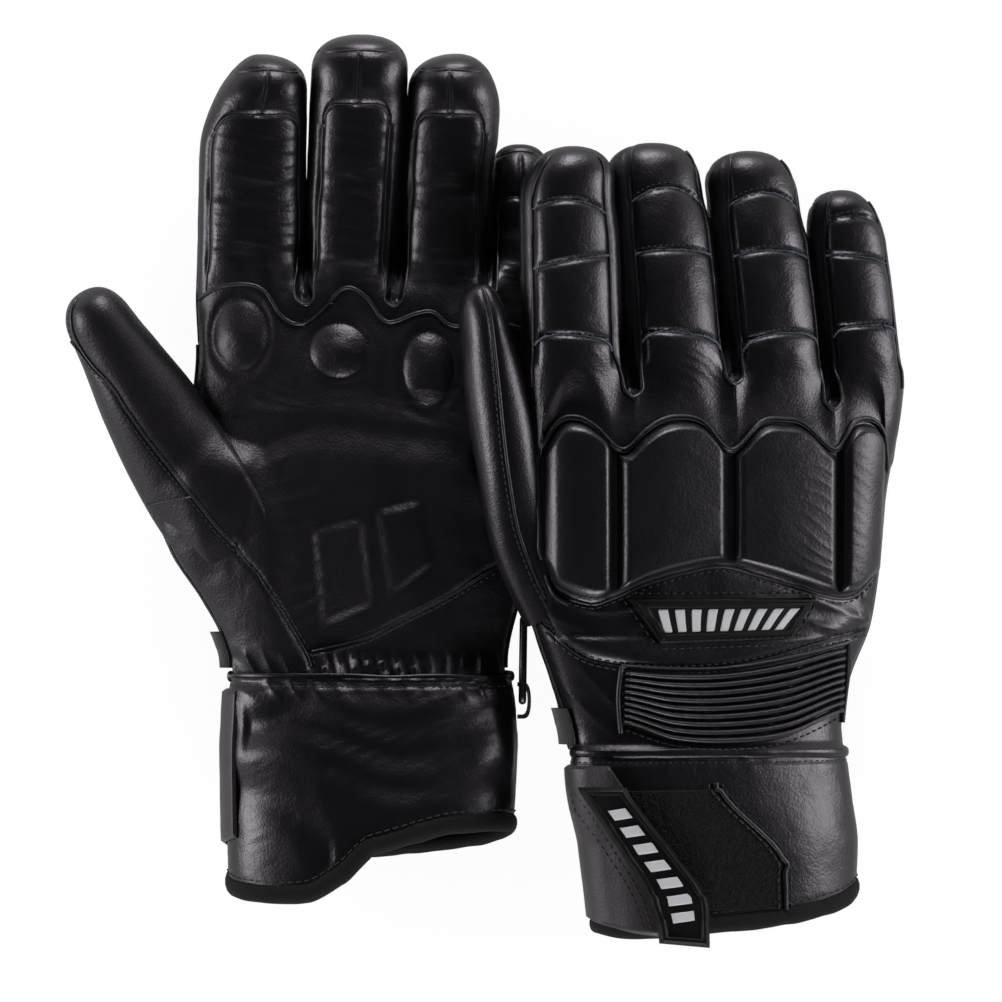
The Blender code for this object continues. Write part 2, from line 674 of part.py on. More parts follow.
def clip(glove, tape, plastic, collection):
    """The pairing clip at the little finger's side of the wrist: a tape loop and the ring that it holds."""
    low, high = CLIP_LOW, CLIP_LOW + CLIP_TAPE_LENGTH
    inside = 2 * WIRE_RADIUS + 2 * GAP

    def tape_loop(u, v):
        turn = math.pi * (u - 0.5)
        y = (low + high) / 2 + (high - low) / 2 * math.sin(turn)
        bulge = (inside + WEBBING) * abs(math.cos(turn)) ** 0.35
        seat = max(beside(glove, spot, 0.0, 1, 0.0).x for spot in (low, high))
        return Vector((seat + SEWN_GAP / 2 + bulge, y, CLIP_TAPE_HALF * (2 * v - 1)))

    sheet(glove, "clip_tape", tape_loop, 10, 1, WEBBING, tape, collection)
    seat = max(beside(glove, spot, 0.0, 1, 0.0).x for spot in (low, high))
    near = seat + SEWN_GAP / 2 + GAP + WIRE_RADIUS
    y = (low + high) / 2
    half = CLIP_TAPE_HALF + WIRE_RADIUS + 2 * GAP
    route = []
    for rise, across in ((0, -half), (0, half), (0.45, 1.2 * half), (1, 0.7 * half), (1, -0.7 * half),
                         (0.45, -1.2 * half)):
        spot = y + CLIP_RING_LENGTH * rise
        out = max(near, beside(glove, spot, across, 1, WIRE_RADIUS + GAP).x) + rise * GAP
        route.append((out, spot, across))
    bar(glove, "clip_ring", route, WIRE_RADIUS, plastic, collection)


def build_glove(glove, finishes, collection, cutters):
    leather, palm_leather, rubber, textile, pile, hooks, knit, tape, plastic = finishes
    cutter = thumb_pieces(glove, leather, collection, cutters)
    hand_shells(glove, leather, collection, cutter)
    finger_stalls(glove, leather, collection)
    liner(glove, knit, collection, cutter)
    knuckle_pads(glove, leather, collection)
    palm_pads(glove, palm_leather, collection)
    back_trim(glove, rubber, leather, collection)
    gauntlet(glove, leather, textile, collection)
    closure(glove, leather, rubber, hooks, pile, collection)
    pull_loop(glove, tape, collection)
    if glove is LEFT:
        clip(glove, tape, plastic, collection)


def main():
    for old in list(bpy.data.objects):
        bpy.data.objects.remove(old)
    gloves = bpy.data.collections.new("riding_gloves")
    cutters = bpy.data.collections.new("cutters")
    for collection in (gloves, cutters):
        bpy.context.scene.collection.children.link(collection)
    finishes = (
        material("goat_leather", (0.012, 0.012, 0.014), 0.42),
        material("palm_leather", (0.012, 0.012, 0.014), 0.40),
        material("moulded_rubber", (0.016, 0.016, 0.018), 0.55),
        material("woven_binding", (0.010, 0.010, 0.011), 0.85),
        material("loop_pile", (0.006, 0.006, 0.007), 0.95),
        material("moulded_hooks", (0.02, 0.02, 0.02), 0.60),
        material("knitted_liner", (0.015, 0.015, 0.016), 0.95),
        material("webbing", (0.03, 0.03, 0.034), 0.70),
        material("acetal_ring", (0.014, 0.014, 0.015), 0.30),
    )
    for glove in (RIGHT, LEFT):
        build_glove(glove, finishes, gloves, cutters)


main()
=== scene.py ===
"""Looks of a pair of padded leather riding gloves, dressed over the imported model.

Both gloves are one design. Every length in the plans and classes is in millimetres, in the
glove's own frame: x runs across the hand with the thumb at -x, y runs from the cuff to the
fingertips, and d runs from the palm to the back. GlovePlan.place takes points to the shared
frame in metres.
"""
import json
import logging
import math
from dataclasses import dataclass
from enum import Enum
from typing import Optional, Sequence

import bmesh
import bpy
import numpy as np
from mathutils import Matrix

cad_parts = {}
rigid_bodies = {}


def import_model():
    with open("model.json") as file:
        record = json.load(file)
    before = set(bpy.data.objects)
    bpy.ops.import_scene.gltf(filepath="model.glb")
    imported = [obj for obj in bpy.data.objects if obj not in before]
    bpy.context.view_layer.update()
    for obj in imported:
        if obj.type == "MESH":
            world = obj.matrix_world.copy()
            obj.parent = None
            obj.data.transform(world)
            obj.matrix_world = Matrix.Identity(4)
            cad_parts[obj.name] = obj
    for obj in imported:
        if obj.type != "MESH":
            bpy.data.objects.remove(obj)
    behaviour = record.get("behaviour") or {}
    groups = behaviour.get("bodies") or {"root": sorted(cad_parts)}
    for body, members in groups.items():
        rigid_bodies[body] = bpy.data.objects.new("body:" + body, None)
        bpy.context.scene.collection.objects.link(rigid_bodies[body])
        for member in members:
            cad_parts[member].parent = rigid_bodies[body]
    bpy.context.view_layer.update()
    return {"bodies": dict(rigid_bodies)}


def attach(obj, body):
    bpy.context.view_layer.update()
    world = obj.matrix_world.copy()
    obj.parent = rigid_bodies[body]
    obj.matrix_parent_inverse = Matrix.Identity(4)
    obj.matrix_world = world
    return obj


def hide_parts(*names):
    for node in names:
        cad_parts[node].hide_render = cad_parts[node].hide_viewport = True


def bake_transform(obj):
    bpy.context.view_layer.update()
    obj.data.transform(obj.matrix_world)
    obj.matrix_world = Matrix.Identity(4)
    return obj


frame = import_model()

LOG = logging.getLogger("riding_gloves")

MM = 0.001
WELD = 2e-5                     # points nearer than this, in metres, are one point
SECTION_POWER = 2.5             # squareness of the hand's section, 2 is an ellipse
FINGER_POWER = 2.2
CUFF_POWER = 2.3
PAIR_CENTRING = np.array([5.87, -2.67, -0.6])
WHITE = (1.0, 1.0, 1.0, 1.0)
FINGERS = ("index", "middle", "ring", "little")
OUT, UP = np.array([1.0, 0.0, 0.0]), np.array([0.0, 0.0, 1.0])

Rows = Sequence[Sequence[float]]
Points = np.ndarray
Array = np.ndarray
Values = np.ndarray | float


# ------------------------------------------------------------------ curves and sections

def through(rows: Rows, at: Values) -> Array:
    """Columns 1.. of rows, read at column 0, on a Catmull-Rom curve through the rows.

    Args:
        rows: key and values, in order of the key.
        at: where to read, held to the first and last key.

    Returns:
        One value per column, with the shape of `at` before it.
    """
    table = np.asarray(rows, float)
    table = table[np.argsort(table[:, 0], kind="stable")]
    key = table[:, 0]
    at = np.clip(np.asarray(at, float), key[0], key[-1])
    k = np.clip(np.searchsorted(key, at, side="right") - 1, 0, len(key) - 2)
    t = ((at - key[k]) / (key[k + 1] - key[k]))[..., None]
    p0, p1 = table[np.maximum(k - 1, 0), 1:], table[k, 1:]
    p2, p3 = table[k + 1, 1:], table[np.minimum(k + 2, len(key) - 1), 1:]
    return 0.5 * (2 * p1 + (p2 - p0) * t + (2 * p0 - 5 * p1 + 4 * p2 - p3) * t ** 2
                  + (3 * p1 - p0 - 3 * p2 + p3) * t ** 3)


def line_at(rows: Rows, at: Values) -> Array:
    """The one value of two-column rows at a key, on the same curve as through()."""
    return through(rows, at)[..., 0]


def ease(t: Values) -> Array:
    """Smoothstep: 0 below 0, 1 above 1, and 3t^2 - 2t^3 between."""
    t = np.clip(t, 0.0, 1.0)
    return t * t * (3 - 2 * t)


def bump(t: Values) -> Array:
    """A bell of height 1: exp(-t^2)."""
    return np.exp(-np.square(t))


def signed_power(value: Array, power: float) -> Array:
    """|value| to a power, with the sign of value."""
    return np.sign(value) * np.abs(value) ** power


def oval(half: Array, top: Array, bottom: Array, power: float,
         angle: Array, lift: Values = 0.0) -> tuple[Array, Array]:
    """(across, up) on a superellipse with its own height above and below, moved out by lift.

    across = half cos^(2/p), up = height sin^(2/p), and lift goes along the curve's normal.
    """
    height = np.where(np.sin(angle) >= 0, top, bottom)
    across = half * signed_power(np.cos(angle), 2 / power)
    up = height * signed_power(np.sin(angle), 2 / power)
    nx = signed_power(across / half, power - 1) / half
    ny = signed_power(up / height, power - 1) / height
    size = np.maximum(np.hypot(nx, ny), 1e-9)
    return across + lift * nx / size, up + lift * ny / size


def angle_at(fraction: Values, power: float, face: int = 1) -> Array:
    """The angle at which a superellipse is `fraction` of its half width across, on one face."""
    held = np.clip(fraction, -0.995, 0.995)
    return face * np.arccos(np.clip(signed_power(held, power / 2), -1, 1))


def value_noise(points: Points, size: float, seed: int = 0) -> Array:
    """Smooth noise from -1 to 1: hashed corner values of a lattice, eased between the corners.

    Args:
        points: (..., 3) points.
        size: the lattice's spacing, in the units of the points.
        seed: picks another pattern.
    """
    spot = points / size + 100.5 + 17.0 * seed
    cell = np.floor(spot).astype(np.int64)
    t = spot - cell
    t = t * t * (3 - 2 * t)
    total = np.zeros(spot.shape[:-1])
    for corner in range(8):
        step = np.array([corner & 1, corner >> 1 & 1, corner >> 2 & 1])
        key = (cell + step).astype(np.uint64)
        mixed = key[..., 0] * 73856093 ^ key[..., 1] * 19349663 ^ key[..., 2] * 83492791
        mixed = (mixed ^ (mixed >> np.uint64(13))) * np.uint64(1274126177)
        value = ((mixed ^ (mixed >> np.uint64(16))) & np.uint64(0xFFFF)) / 32767.5 - 1
        total += value * np.prod(np.where(step, t, 1 - t), axis=-1)
    return total


def lumps(points: Points, size: float, seed: int = 0) -> Array:
    """Three octaves of value noise, each half the size and half the height of the last."""
    return sum(value_noise(points, size / 2 ** k, seed + k) / 2 ** k for k in range(3)) / 1.75


def creases(points: Points, along: Sequence[float], spacing: float, seed: int = 0) -> Array:
    """Sharp-topped ripples 0 to 1 across the direction `along`, bent and broken by noise."""
    way = np.array(along, float) / np.linalg.norm(along)
    phase = points @ way / spacing + 0.9 * value_noise(points, 4.2 * spacing, seed)
    ridge = 1 - np.abs(np.sin(np.pi * phase))
    return ridge ** 1.5 * (0.55 + 0.45 * value_noise(points, 3.1 * spacing, seed + 5))


# ------------------------------------------------------------------ forms

@dataclass
class Form:
    """Vertices and four-cornered faces of closed shapes. A face may repeat a welded corner."""

    verts: Points
    faces: Array
    uv: Optional[Array] = None

    @staticmethod
    def joined(forms: Sequence["Form"]) -> "Form":
        """All the forms as one."""
        starts = np.cumsum([0] + [len(form.verts) for form in forms[:-1]])
        return Form(np.concatenate([form.verts for form in forms]),
                    np.concatenate([form.faces + start for form, start in zip(forms, starts)]))


def grid_faces(rows: int, columns: int, round_columns: bool = False,
               round_rows: bool = False) -> Array:
    """Corner numbers of the faces of a grid that may close on itself either way."""
    j = np.arange(rows if round_rows else rows - 1)[:, None]
    i = np.arange(columns if round_columns else columns - 1)[None, :]
    ahead, above = (i + 1) % columns, (j + 1) % rows
    corners = (j * columns + i, j * columns + ahead, above * columns + ahead, above * columns + i)
    return np.stack(np.broadcast_arrays(*corners), -1).reshape(-1, 4)


def tube(grid: Points) -> Form:
    """A grid closed round its columns, with each end drawn together to its middle point."""
    low = np.broadcast_to(grid[:1].mean(1, keepdims=True), grid[:1].shape)
    high = np.broadcast_to(grid[-1:].mean(1, keepdims=True), grid[:1].shape)
    full = np.concatenate([low, grid, high])
    return Form(full.reshape(-1, 3), grid_faces(*full.shape[:2], round_columns=True))


def ring(grid: Points) -> Form:
    """A grid closed both ways, like a tyre."""
    return Form(grid.reshape(-1, 3), grid_faces(*grid.shape[:2], round_columns=True, round_rows=True))


def slab(outer: Points, inner: Points) -> Form:
    """A closed plate between two grids of one size, joined round their rims."""
    rows, columns = outer.shape[:2]
    loop = np.concatenate([outer, inner[:, ::-1]], axis=1)
    sides = grid_faces(rows, 2 * columns, round_columns=True)
    i = np.arange(columns - 1)
    ends = []
    for j in (0, rows - 1):
        base = j * 2 * columns
        back = 2 * columns - 1
        ends.append(np.stack([base + i, base + i + 1, base + back - i - 1, base + back - i], -1))
    return Form(loop.reshape(-1, 3), np.concatenate([sides, *ends]))


def sleeve(outer: Points, inner: Points) -> Form:
    """A tube with a wall: the outer grid goes up, the inner one comes back down."""
    return ring(np.concatenate([outer, inner[::-1]]))


def unit(vectors: Points) -> Points:
    """Vectors at length 1."""
    return vectors / np.maximum(np.linalg.norm(vectors, axis=-1, keepdims=True), 1e-12)


def sweep(path: Points, normal: Points, width: Values, height: Values,
          sides: int = 8, closed: bool = False) -> Form:
    """An oval carried along a path, flat side down on the surface whose normals are given.

    Args:
        path: (n, 3) middle line.
        normal: (n, 3) or one direction for all.
        width: across the path, one value or one for each point.
        height: along the normal.
        sides: corners of the oval.
        closed: whether the path comes back to its start.
    """
    ahead = unit(np.roll(path, -1, 0) - np.roll(path, 1, 0) if closed
                 else np.gradient(path, axis=0))
    normal = np.broadcast_to(normal, path.shape)
    across = unit(np.cross(ahead, normal))
    up = np.cross(across, ahead)
    turn = turns(sides, 0.0)[None, :, None]
    half_width, half_height = (np.broadcast_to(np.asarray(size, float) / 2, len(path))[:, None, None]
                               for size in (width, height))
    grid = (path[:, None] + across[:, None] * np.cos(turn) * half_width
            + up[:, None] * np.sin(turn) * half_height)
    return ring(grid) if closed else tube(grid)


def lengths(path: Points) -> Array:
    """The length along a path at each of its points."""
    return np.concatenate([[0.0], np.cumsum(np.linalg.norm(np.diff(path, axis=0), axis=1))])


def turns(count: int, first: float = 0.5) -> Array:
    """Angles evenly spaced round a section, from `first` of a step on."""
    return 2 * np.pi * (np.arange(count) + first) / count


def spaced(path: Points, pitch: float) -> tuple[Points, Array]:
    """Points evenly spaced along a path, and their places in it as fractions of an index."""
    run = lengths(path)
    count = max(2, int(run[-1] / pitch) + 1)
    where = np.interp(np.linspace(0, run[-1], count), run, np.arange(len(path)))
    return at_places(path, where), where


def at_places(values: Points, where: Array) -> Points:
    """Rows of values read at fractional row numbers."""
    low = np.clip(np.floor(where).astype(int), 0, len(values) - 2)
    t = (where - low)[:, None]
    return values[low] * (1 - t) + values[low + 1] * t


class Stitch(Enum):
    """The rows of stitches: spacing, length and thickness of the thread."""

    SEAM = (2.6, 1.9, 0.55)
    FLANGE = (2.8, 2.0, 0.55)
    HEEL = (2.4, 1.7, 0.45)
    PALM = (2.6, 1.8, 0.45)
    FINGER = (1.9, 1.2, 0.4)
    THUMB = (2.2, 1.5, 0.4)
    WRIST = (2.2, 1.6, 0.45)
    HEM = (2.9, 2.1, 0.5)
    PANEL = (2.7, 2.0, 0.5)
    STRAP = (2.6, 1.8, 0.5)


def stitches(path: Points, normal: Points, kind: Stitch) -> Form:
    """Short threads along a path, each an arched capsule whose two ends dive into the leather."""
    pitch, length, thick = kind.value
    normal = np.broadcast_to(normal, path.shape)
    spots, where = spaced(path, pitch)
    spots, where = (spots[:-1] + spots[1:]) / 2, (where[:-1] + where[1:]) / 2
    up = unit(at_places(normal, where))
    ahead = unit(at_places(np.gradient(path, axis=0), where))
    across = unit(np.cross(ahead, up))
    run = np.array([-1.0, -0.8, -0.35, 0.35, 0.8, 1.0])
    girth = np.sqrt(np.maximum(0.0, 1 - run ** 4)) * thick / 2
    turn = turns(6, 0.0)
    x = np.broadcast_to((run * length / 2)[:, None], (6, 6))
    y = girth[:, None] * np.cos(turn)
    z = girth[:, None] * np.sin(turn) + (0.35 - 0.9 * run[:, None] ** 2) * thick * 0.6
    grid = (spots[:, None, None] + ahead[:, None, None] * x[None, ..., None]
            + across[:, None, None] * y[None, ..., None] + up[:, None, None] * z[None, ..., None])
    faces = grid_faces(6, 6, round_columns=True)
    starts = np.arange(len(spots)) * 36
    return Form(grid.reshape(-1, 3), (faces[None] + starts[:, None, None]).reshape(-1, 4))


def polyline(points: Rows, pitch: float = 0.8) -> Points:
    """A smooth line through points of any dimension, at an even spacing."""
    spots = np.array(points, float)
    run = lengths(spots)
    count = max(2, int(run[-1] / pitch) + 1)
    return through(np.column_stack([run, spots]), np.linspace(0, run[-1], count))


def bevelled(u: Array, v: Array, width: Values, length: Values, edge: float) -> Array:
    """Height 0 to 1 of a plate over its unit square, a quarter round `edge` wide at each side."""
    near = (np.minimum(t, 1 - t) * size / edge for t, size in ((u, width), (v, length)))
    rise_u, rise_v = (np.sqrt(np.maximum(0.0, 1 - (1 - np.clip(t, 0, 1)) ** 2)) for t in near)
    return rise_u * rise_v


def unit_square(across: int, along: int) -> tuple[Array, Array]:
    """u and v over a grid of along + 1 rows and across + 1 columns."""
    return np.meshgrid(np.linspace(0, 1, across + 1), np.linspace(0, 1, along + 1))


# ------------------------------------------------------------------ finishes

def linear(colour: str) -> tuple[float, float, float, float]:
    """A hex sRGB colour as linear values with alpha 1."""
    parts = [int(colour[i:i + 2], 16) / 255 for i in (1, 3, 5)]
    return (*(c / 12.92 if c <= 0.04045 else ((c + 0.055) / 1.055) ** 2.4 for c in parts), 1.0)


class Kind(Enum):
    """The shader nodes that the finishes are made of."""

    COORD = "ShaderNodeTexCoord"
    MAPPING = "ShaderNodeMapping"
    NOISE = "ShaderNodeTexNoise"
    CELLS = "ShaderNodeTexVoronoi"
    WAVE = "ShaderNodeTexWave"
    RAMP = "ShaderNodeMapRange"
    MIX = "ShaderNodeMix"
    MATH = "ShaderNodeMath"
    BUMP = "ShaderNodeBump"
    LIGHT_PATH = "ShaderNodeLightPath"
    SPLIT = "ShaderNodeSeparateXYZ"
    DIFFUSE = "ShaderNodeBsdfDiffuse"
    GLOW = "ShaderNodeEmission"
    MIX_SHADER = "ShaderNodeMixShader"
    UV = "ShaderNodeUVMap"


def feed(tree: bpy.types.NodeTree, made: bpy.types.Node, inputs: dict) -> None:
    """Sets a node's inputs.

    Args:
        tree: the node's tree.
        made: the node.
        inputs: for each input's name or number a value, or an output socket to link from, or a
            node whose first output in use is linked.
    """
    for key, value in inputs.items():
        named = (one for one in made.inputs if one.name == key and one.enabled)
        target = made.inputs[key] if isinstance(key, int) else next(named)
        if isinstance(value, bpy.types.Node):
            value = next(one for one in value.outputs if one.enabled)
        if isinstance(value, bpy.types.NodeSocket):
            tree.links.new(value, target)
        else:
            target.default_value = value


def node(tree: bpy.types.NodeTree, kind: Kind, inputs: Optional[dict] = None,
         **settings: object) -> bpy.types.Node:
    """Adds a node with its settings and its inputs."""
    made = tree.nodes.new(kind.value)
    for key, value in settings.items():
        setattr(made, key, value)
    feed(tree, made, inputs or {})
    return made


def per_mm(size: float) -> float:
    """A texture's scale for a pattern of this size in millimetres, on coordinates in metres."""
    return 1 / (size * MM)


class Finish:
    """A material and the way it is dressed; subclasses fill in dress()."""

    name = "finish"
    slot = "goat_leather"

    def make(self) -> bpy.types.Material:
        """The Blender material."""
        material = bpy.data.materials.new(self.name)
        material.use_nodes = True
        tree = material.node_tree
        self.dress(tree, tree.nodes["Principled BSDF"])
        return material

    def dress(self, tree: bpy.types.NodeTree, shader: bpy.types.Node) -> None:
        """Sets the shader's sockets and links the patterns."""
        raise NotImplementedError


@dataclass(frozen=True)
class GoatLeather(Finish):
    """Aniline-dyed goatskin with a satin topcoat: near-black, with a pebbled grain just under
    1 mm across, fine hair creases, and broad soft highlights that break up on the grain."""

    name: str = "goat_leather"
    slot: str = "goat_leather"
    dark: str = "#060507"
    worn: str = "#0c0a0c"
    roughness: float = 0.35
    spread: float = 0.08          # how far roughness wanders
    grain: float = 0.85           # pebble width, drawn a little coarse so that it shows
    depth: float = 0.06           # pebble height in millimetres
    crease: float = 5.0
    crease_depth: float = 0.10
    sheen: float = 0.0
    coat: float = 0.12            # the topcoat's share, over the grain's own gloss

    def dress(self, tree: bpy.types.NodeTree, shader: bpy.types.Node) -> None:
        """Pebbles from rounded cells, creases from stretched noise, colour from large noise."""
        place = node(tree, Kind.COORD).outputs["Object"]
        patch = node(tree, Kind.NOISE, {"Vector": place, "Scale": per_mm(16), "Detail": 4.0})
        wear = node(tree, Kind.RAMP, {"Value": patch, "From Min": 0.35, "From Max": 0.75})
        colour = node(tree, Kind.MIX, {
            "Factor": wear, "A": linear(self.dark), "B": linear(self.worn)}, data_type="RGBA")
        satin = node(tree, Kind.RAMP, {
            "Value": patch, "From Min": 0.3, "From Max": 0.7,
            "To Min": self.roughness + self.spread / 2, "To Max": self.roughness - self.spread / 2})
        bend = node(tree, Kind.NOISE, {"Vector": place, "Scale": per_mm(2.4), "Detail": 2.0})
        warped = node(tree, Kind.MIX, {"Factor": 0.0012, "A": place, "B": bend.outputs["Color"]},
                      data_type="VECTOR")
        cells = node(tree, Kind.CELLS, {
            "Vector": warped, "Scale": per_mm(self.grain), "Smoothness": 0.6}, feature="SMOOTH_F1")
        pebble = node(tree, Kind.RAMP, {
            "Value": cells, "From Min": 0.1, "From Max": 0.75, "To Min": 1.0, "To Max": 0.0})
        folds = node(tree, Kind.NOISE, {
            "Vector": place, "Scale": per_mm(self.crease), "Detail": 5.0, "Roughness": 0.62,
            "Distortion": 1.4})
        fold = node(tree, Kind.RAMP, {"Value": folds, "From Min": 0.42, "From Max": 0.58})
        first = node(tree, Kind.BUMP, {
            "Height": pebble, "Strength": 0.6, "Distance": self.depth * MM})
        second = node(tree, Kind.BUMP, {
            "Height": fold, "Strength": 0.22, "Distance": self.crease_depth * MM, "Normal": first})
        feed(tree, shader, {
            "Base Color": colour, "Roughness": satin, "Normal": second, "Specular IOR Level": 0.5,
            "Specular Tint": linear("#fbf1ff"), "Coat Weight": self.coat, "Coat Roughness": 0.32,
            "Sheen Weight": self.sheen, "Sheen Roughness": 0.5})


@dataclass(frozen=True)
class MouldedRubber(Finish):
    """Compression-moulded silicone rubber: dead matt charcoal with a fine bead-blast texture."""

    name: str = "moulded_rubber"
    slot: str = "moulded_rubber"
    colour: str = "#1b1b1d"
    roughness: float = 0.56

    def dress(self, tree: bpy.types.NodeTree, shader: bpy.types.Node) -> None:
        """One tone, with a blast texture 0.5 mm across in the bump."""
        place = node(tree, Kind.COORD).outputs["Object"]
        blast = node(tree, Kind.NOISE, {"Vector": place, "Scale": per_mm(0.5), "Detail": 2.0})
        relief = node(tree, Kind.BUMP, {"Height": blast, "Strength": 0.25, "Distance": 0.06 * MM})
        feed(tree, shader, {"Base Color": linear(self.colour), "Roughness": self.roughness,
                            "Specular IOR Level": 0.2, "Normal": relief})


@dataclass(frozen=True)
class TextileFinish(Finish):
    """Woven, knitted or piled polyester: rough, with soft edge sheen and a thread-scale bump."""

    name: str = "woven_binding"
    slot: str = "woven_binding"
    # colour lies in the gaps between the tufts and second on their tops: painted shade that follows
    # the bump
    colour: str = "#121214"
    second: str = "#1c1c1f"
    thread: float = 0.7           # width of a thread or tuft in millimetres
    stretch: tuple[float, float, float] = (1.0, 1.0, 1.0)
    height: float = 0.3
    roughness: float = 0.85
    sheen: float = 0.25

    def dress(self, tree: bpy.types.NodeTree, shader: bpy.types.Node) -> None:
        """Cells of one thread's width carry both the bump and the colour change, which paints shade:
        lighter on each tuft's top, darker in the gaps between tufts.
        """
        place = node(tree, Kind.COORD).outputs["Object"]
        laid = node(tree, Kind.MAPPING, {"Vector": place, "Scale": self.stretch})
        cells = node(tree, Kind.CELLS, {"Vector": laid, "Scale": per_mm(self.thread)})
        tuft = node(tree, Kind.RAMP, {
            "Value": cells, "From Min": 0.0, "From Max": 0.7, "To Min": 1.0, "To Max": 0.0})
        # painted shade: the first colour darkens the gaps between the tufts, the second lightens
        # their tops
        colour = node(tree, Kind.MIX, {
            "Factor": tuft, "A": linear(self.colour), "B": linear(self.second)}, data_type="RGBA")
        relief = node(tree, Kind.BUMP, {
            "Height": tuft, "Strength": 0.8, "Distance": self.height * MM})
        feed(tree, shader, {
            "Base Color": colour, "Roughness": self.roughness, "Normal": relief,
            "Specular IOR Level": 0.18, "Sheen Weight": self.sheen, "Sheen Roughness": 0.6})


@dataclass(frozen=True)
class RibbedWebbing(Finish):
    """Grosgrain tape in black polyester: cross ribs 0.9 mm apart with a slight silky sheen."""

    name: str = "webbing"
    slot: str = "webbing"
    # colour lies on the ribs' tops and second in the grooves between them: painted shade that follows
    # the bump
    colour: str = "#1f1d1e"
    second: str = "#111011"
    rib: float = 0.9

    def dress(self, tree: bpy.types.NodeTree, shader: bpy.types.Node) -> None:
        """Bands across the tape, on its own UV map in millimetres: a wave's period is
        pi / (10 scale)."""
        along = node(tree, Kind.UV, uv_map="tape")
        ribs = node(tree, Kind.WAVE, {
            "Vector": along, "Scale": math.pi / 10 / self.rib, "Distortion": 0.6, "Detail": 1.0},
            bands_direction="X").outputs["Fac"]
        # painted shade: the darker second colour fills the grooves between the ribs, and the first
        # lies on their tops
        colour = node(tree, Kind.MIX, {
            "Factor": ribs, "A": linear(self.second), "B": linear(self.colour)}, data_type="RGBA")
        relief = node(tree, Kind.BUMP, {"Height": ribs, "Strength": 0.7, "Distance": 0.25 * MM})
        feed(tree, shader, {"Base Color": colour, "Roughness": 0.7, "Normal": relief,
                            "Sheen Weight": 0.2})


@dataclass(frozen=True)
class PlainFinish(Finish):
    """Acetal, waxed thread or screen ink: one colour, with a slight unevenness in the gloss."""

    name: str = "plain"
    slot: str = "acetal_ring"
    colour: str = "#18181b"
    roughness: float = 0.35
    uneven: float = 0.08
    grain: float = 1.2

    def dress(self, tree: bpy.types.NodeTree, shader: bpy.types.Node) -> None:
        """Roughness wanders by `uneven`, and the same noise gives a faint bump."""
        place = node(tree, Kind.COORD).outputs["Object"]
        noise = node(tree, Kind.NOISE, {"Vector": place, "Scale": per_mm(self.grain), "Detail": 2.0})
        gloss = node(tree, Kind.RAMP, {"Value": noise, "To Min": self.roughness - self.uneven,
                                       "To Max": self.roughness + self.uneven})
        relief = node(tree, Kind.BUMP, {"Height": noise, "Strength": 0.3, "Distance": 0.05 * MM})
        feed(tree, shader, {"Base Color": linear(self.colour), "Roughness": gloss, "Normal": relief})


GOAT = GoatLeather()
# Full-grain cowhide on the palm: wider, deeper pebbles and a face that handling has dulled.
PALM = GoatLeather(name="palm_leather", slot="palm_leather", roughness=0.42, grain=0.9, depth=0.08,
                   crease=5.5)
# Leather pulled tight over foam: wide pebbles, shallow creases and a cooler, duller face.
GUARD = GoatLeather(name="guard_leather", dark="#060608", worn="#0c0c0f", roughness=0.37, grain=1.0,
                    depth=0.06, crease=6.0, crease_depth=0.06)
# The strap's leather is buffed: drier, browner and duller than the rest.
STRAP = GoatLeather(name="strap_leather", dark="#141112", worn="#1d1819", roughness=0.5, grain=0.8,
                    depth=0.07, crease=7.0, crease_depth=0.06, sheen=0.15, coat=0.1)
# Rolled and piped seams: leather bent tight, with its cut edge showing grey-blue.
PIPING = GoatLeather(name="piping_leather", dark="#08090b", worn="#12141a", roughness=0.44, grain=0.6,
                     depth=0.06, crease=2.0, crease_depth=0.1)
RUBBER = MouldedRubber(colour="#070708", roughness=0.5)
# Each textile's first colour is painted shade in the gaps between the tufts, and its second colour is
# the lighter tops.
BINDING = TextileFinish(colour="#050505", second="#0b0b0d", thread=0.55, height=0.12,
                        roughness=0.75, sheen=0.02)
PILE = TextileFinish(name="loop_pile", slot="loop_pile", colour="#020202", second="#0e0e10",
                     thread=0.6, height=0.9, roughness=0.9, sheen=0.03)
HOOKS = TextileFinish(name="moulded_hooks", slot="moulded_hooks", colour="#0c0c0d", second="#242426",
                      thread=1.1, height=0.8, roughness=0.55, sheen=0.0)
KNIT = TextileFinish(name="knitted_liner", slot="knitted_liner", colour="#0e0e10", second="#1a1a1d",
                     thread=1.3, height=0.4, stretch=(1.0, 0.6, 1.0), roughness=0.95)
# The tape's darker second colour is painted shade in the grooves between its ribs.
TAPE = RibbedWebbing()
RING = PlainFinish(name="acetal_ring")
# Bonded polyester thread in slate blue, which catches the light along every seam.
THREAD = PlainFinish(name="slate_thread", slot="woven_binding", colour="#181b22", roughness=0.6,
                     grain=0.6)
# The same thread where it is frayed by sewing through a thick edge: paler and rough.
FRAYED = PlainFinish(name="frayed_edge", slot="woven_binding", colour="#4b5566", roughness=0.8,
                     grain=0.4)
# Cut edge of the leather where two pieces are closed together.
EDGE = PlainFinish(name="cut_edge", slot="goat_leather", colour="#20252e", roughness=0.65, grain=0.5)
# Screen ink for the generic bars on the rubber.
INK = PlainFinish(name="pale_ink", slot="moulded_rubber", colour="#c6c7cb", roughness=0.6, grain=1.0)


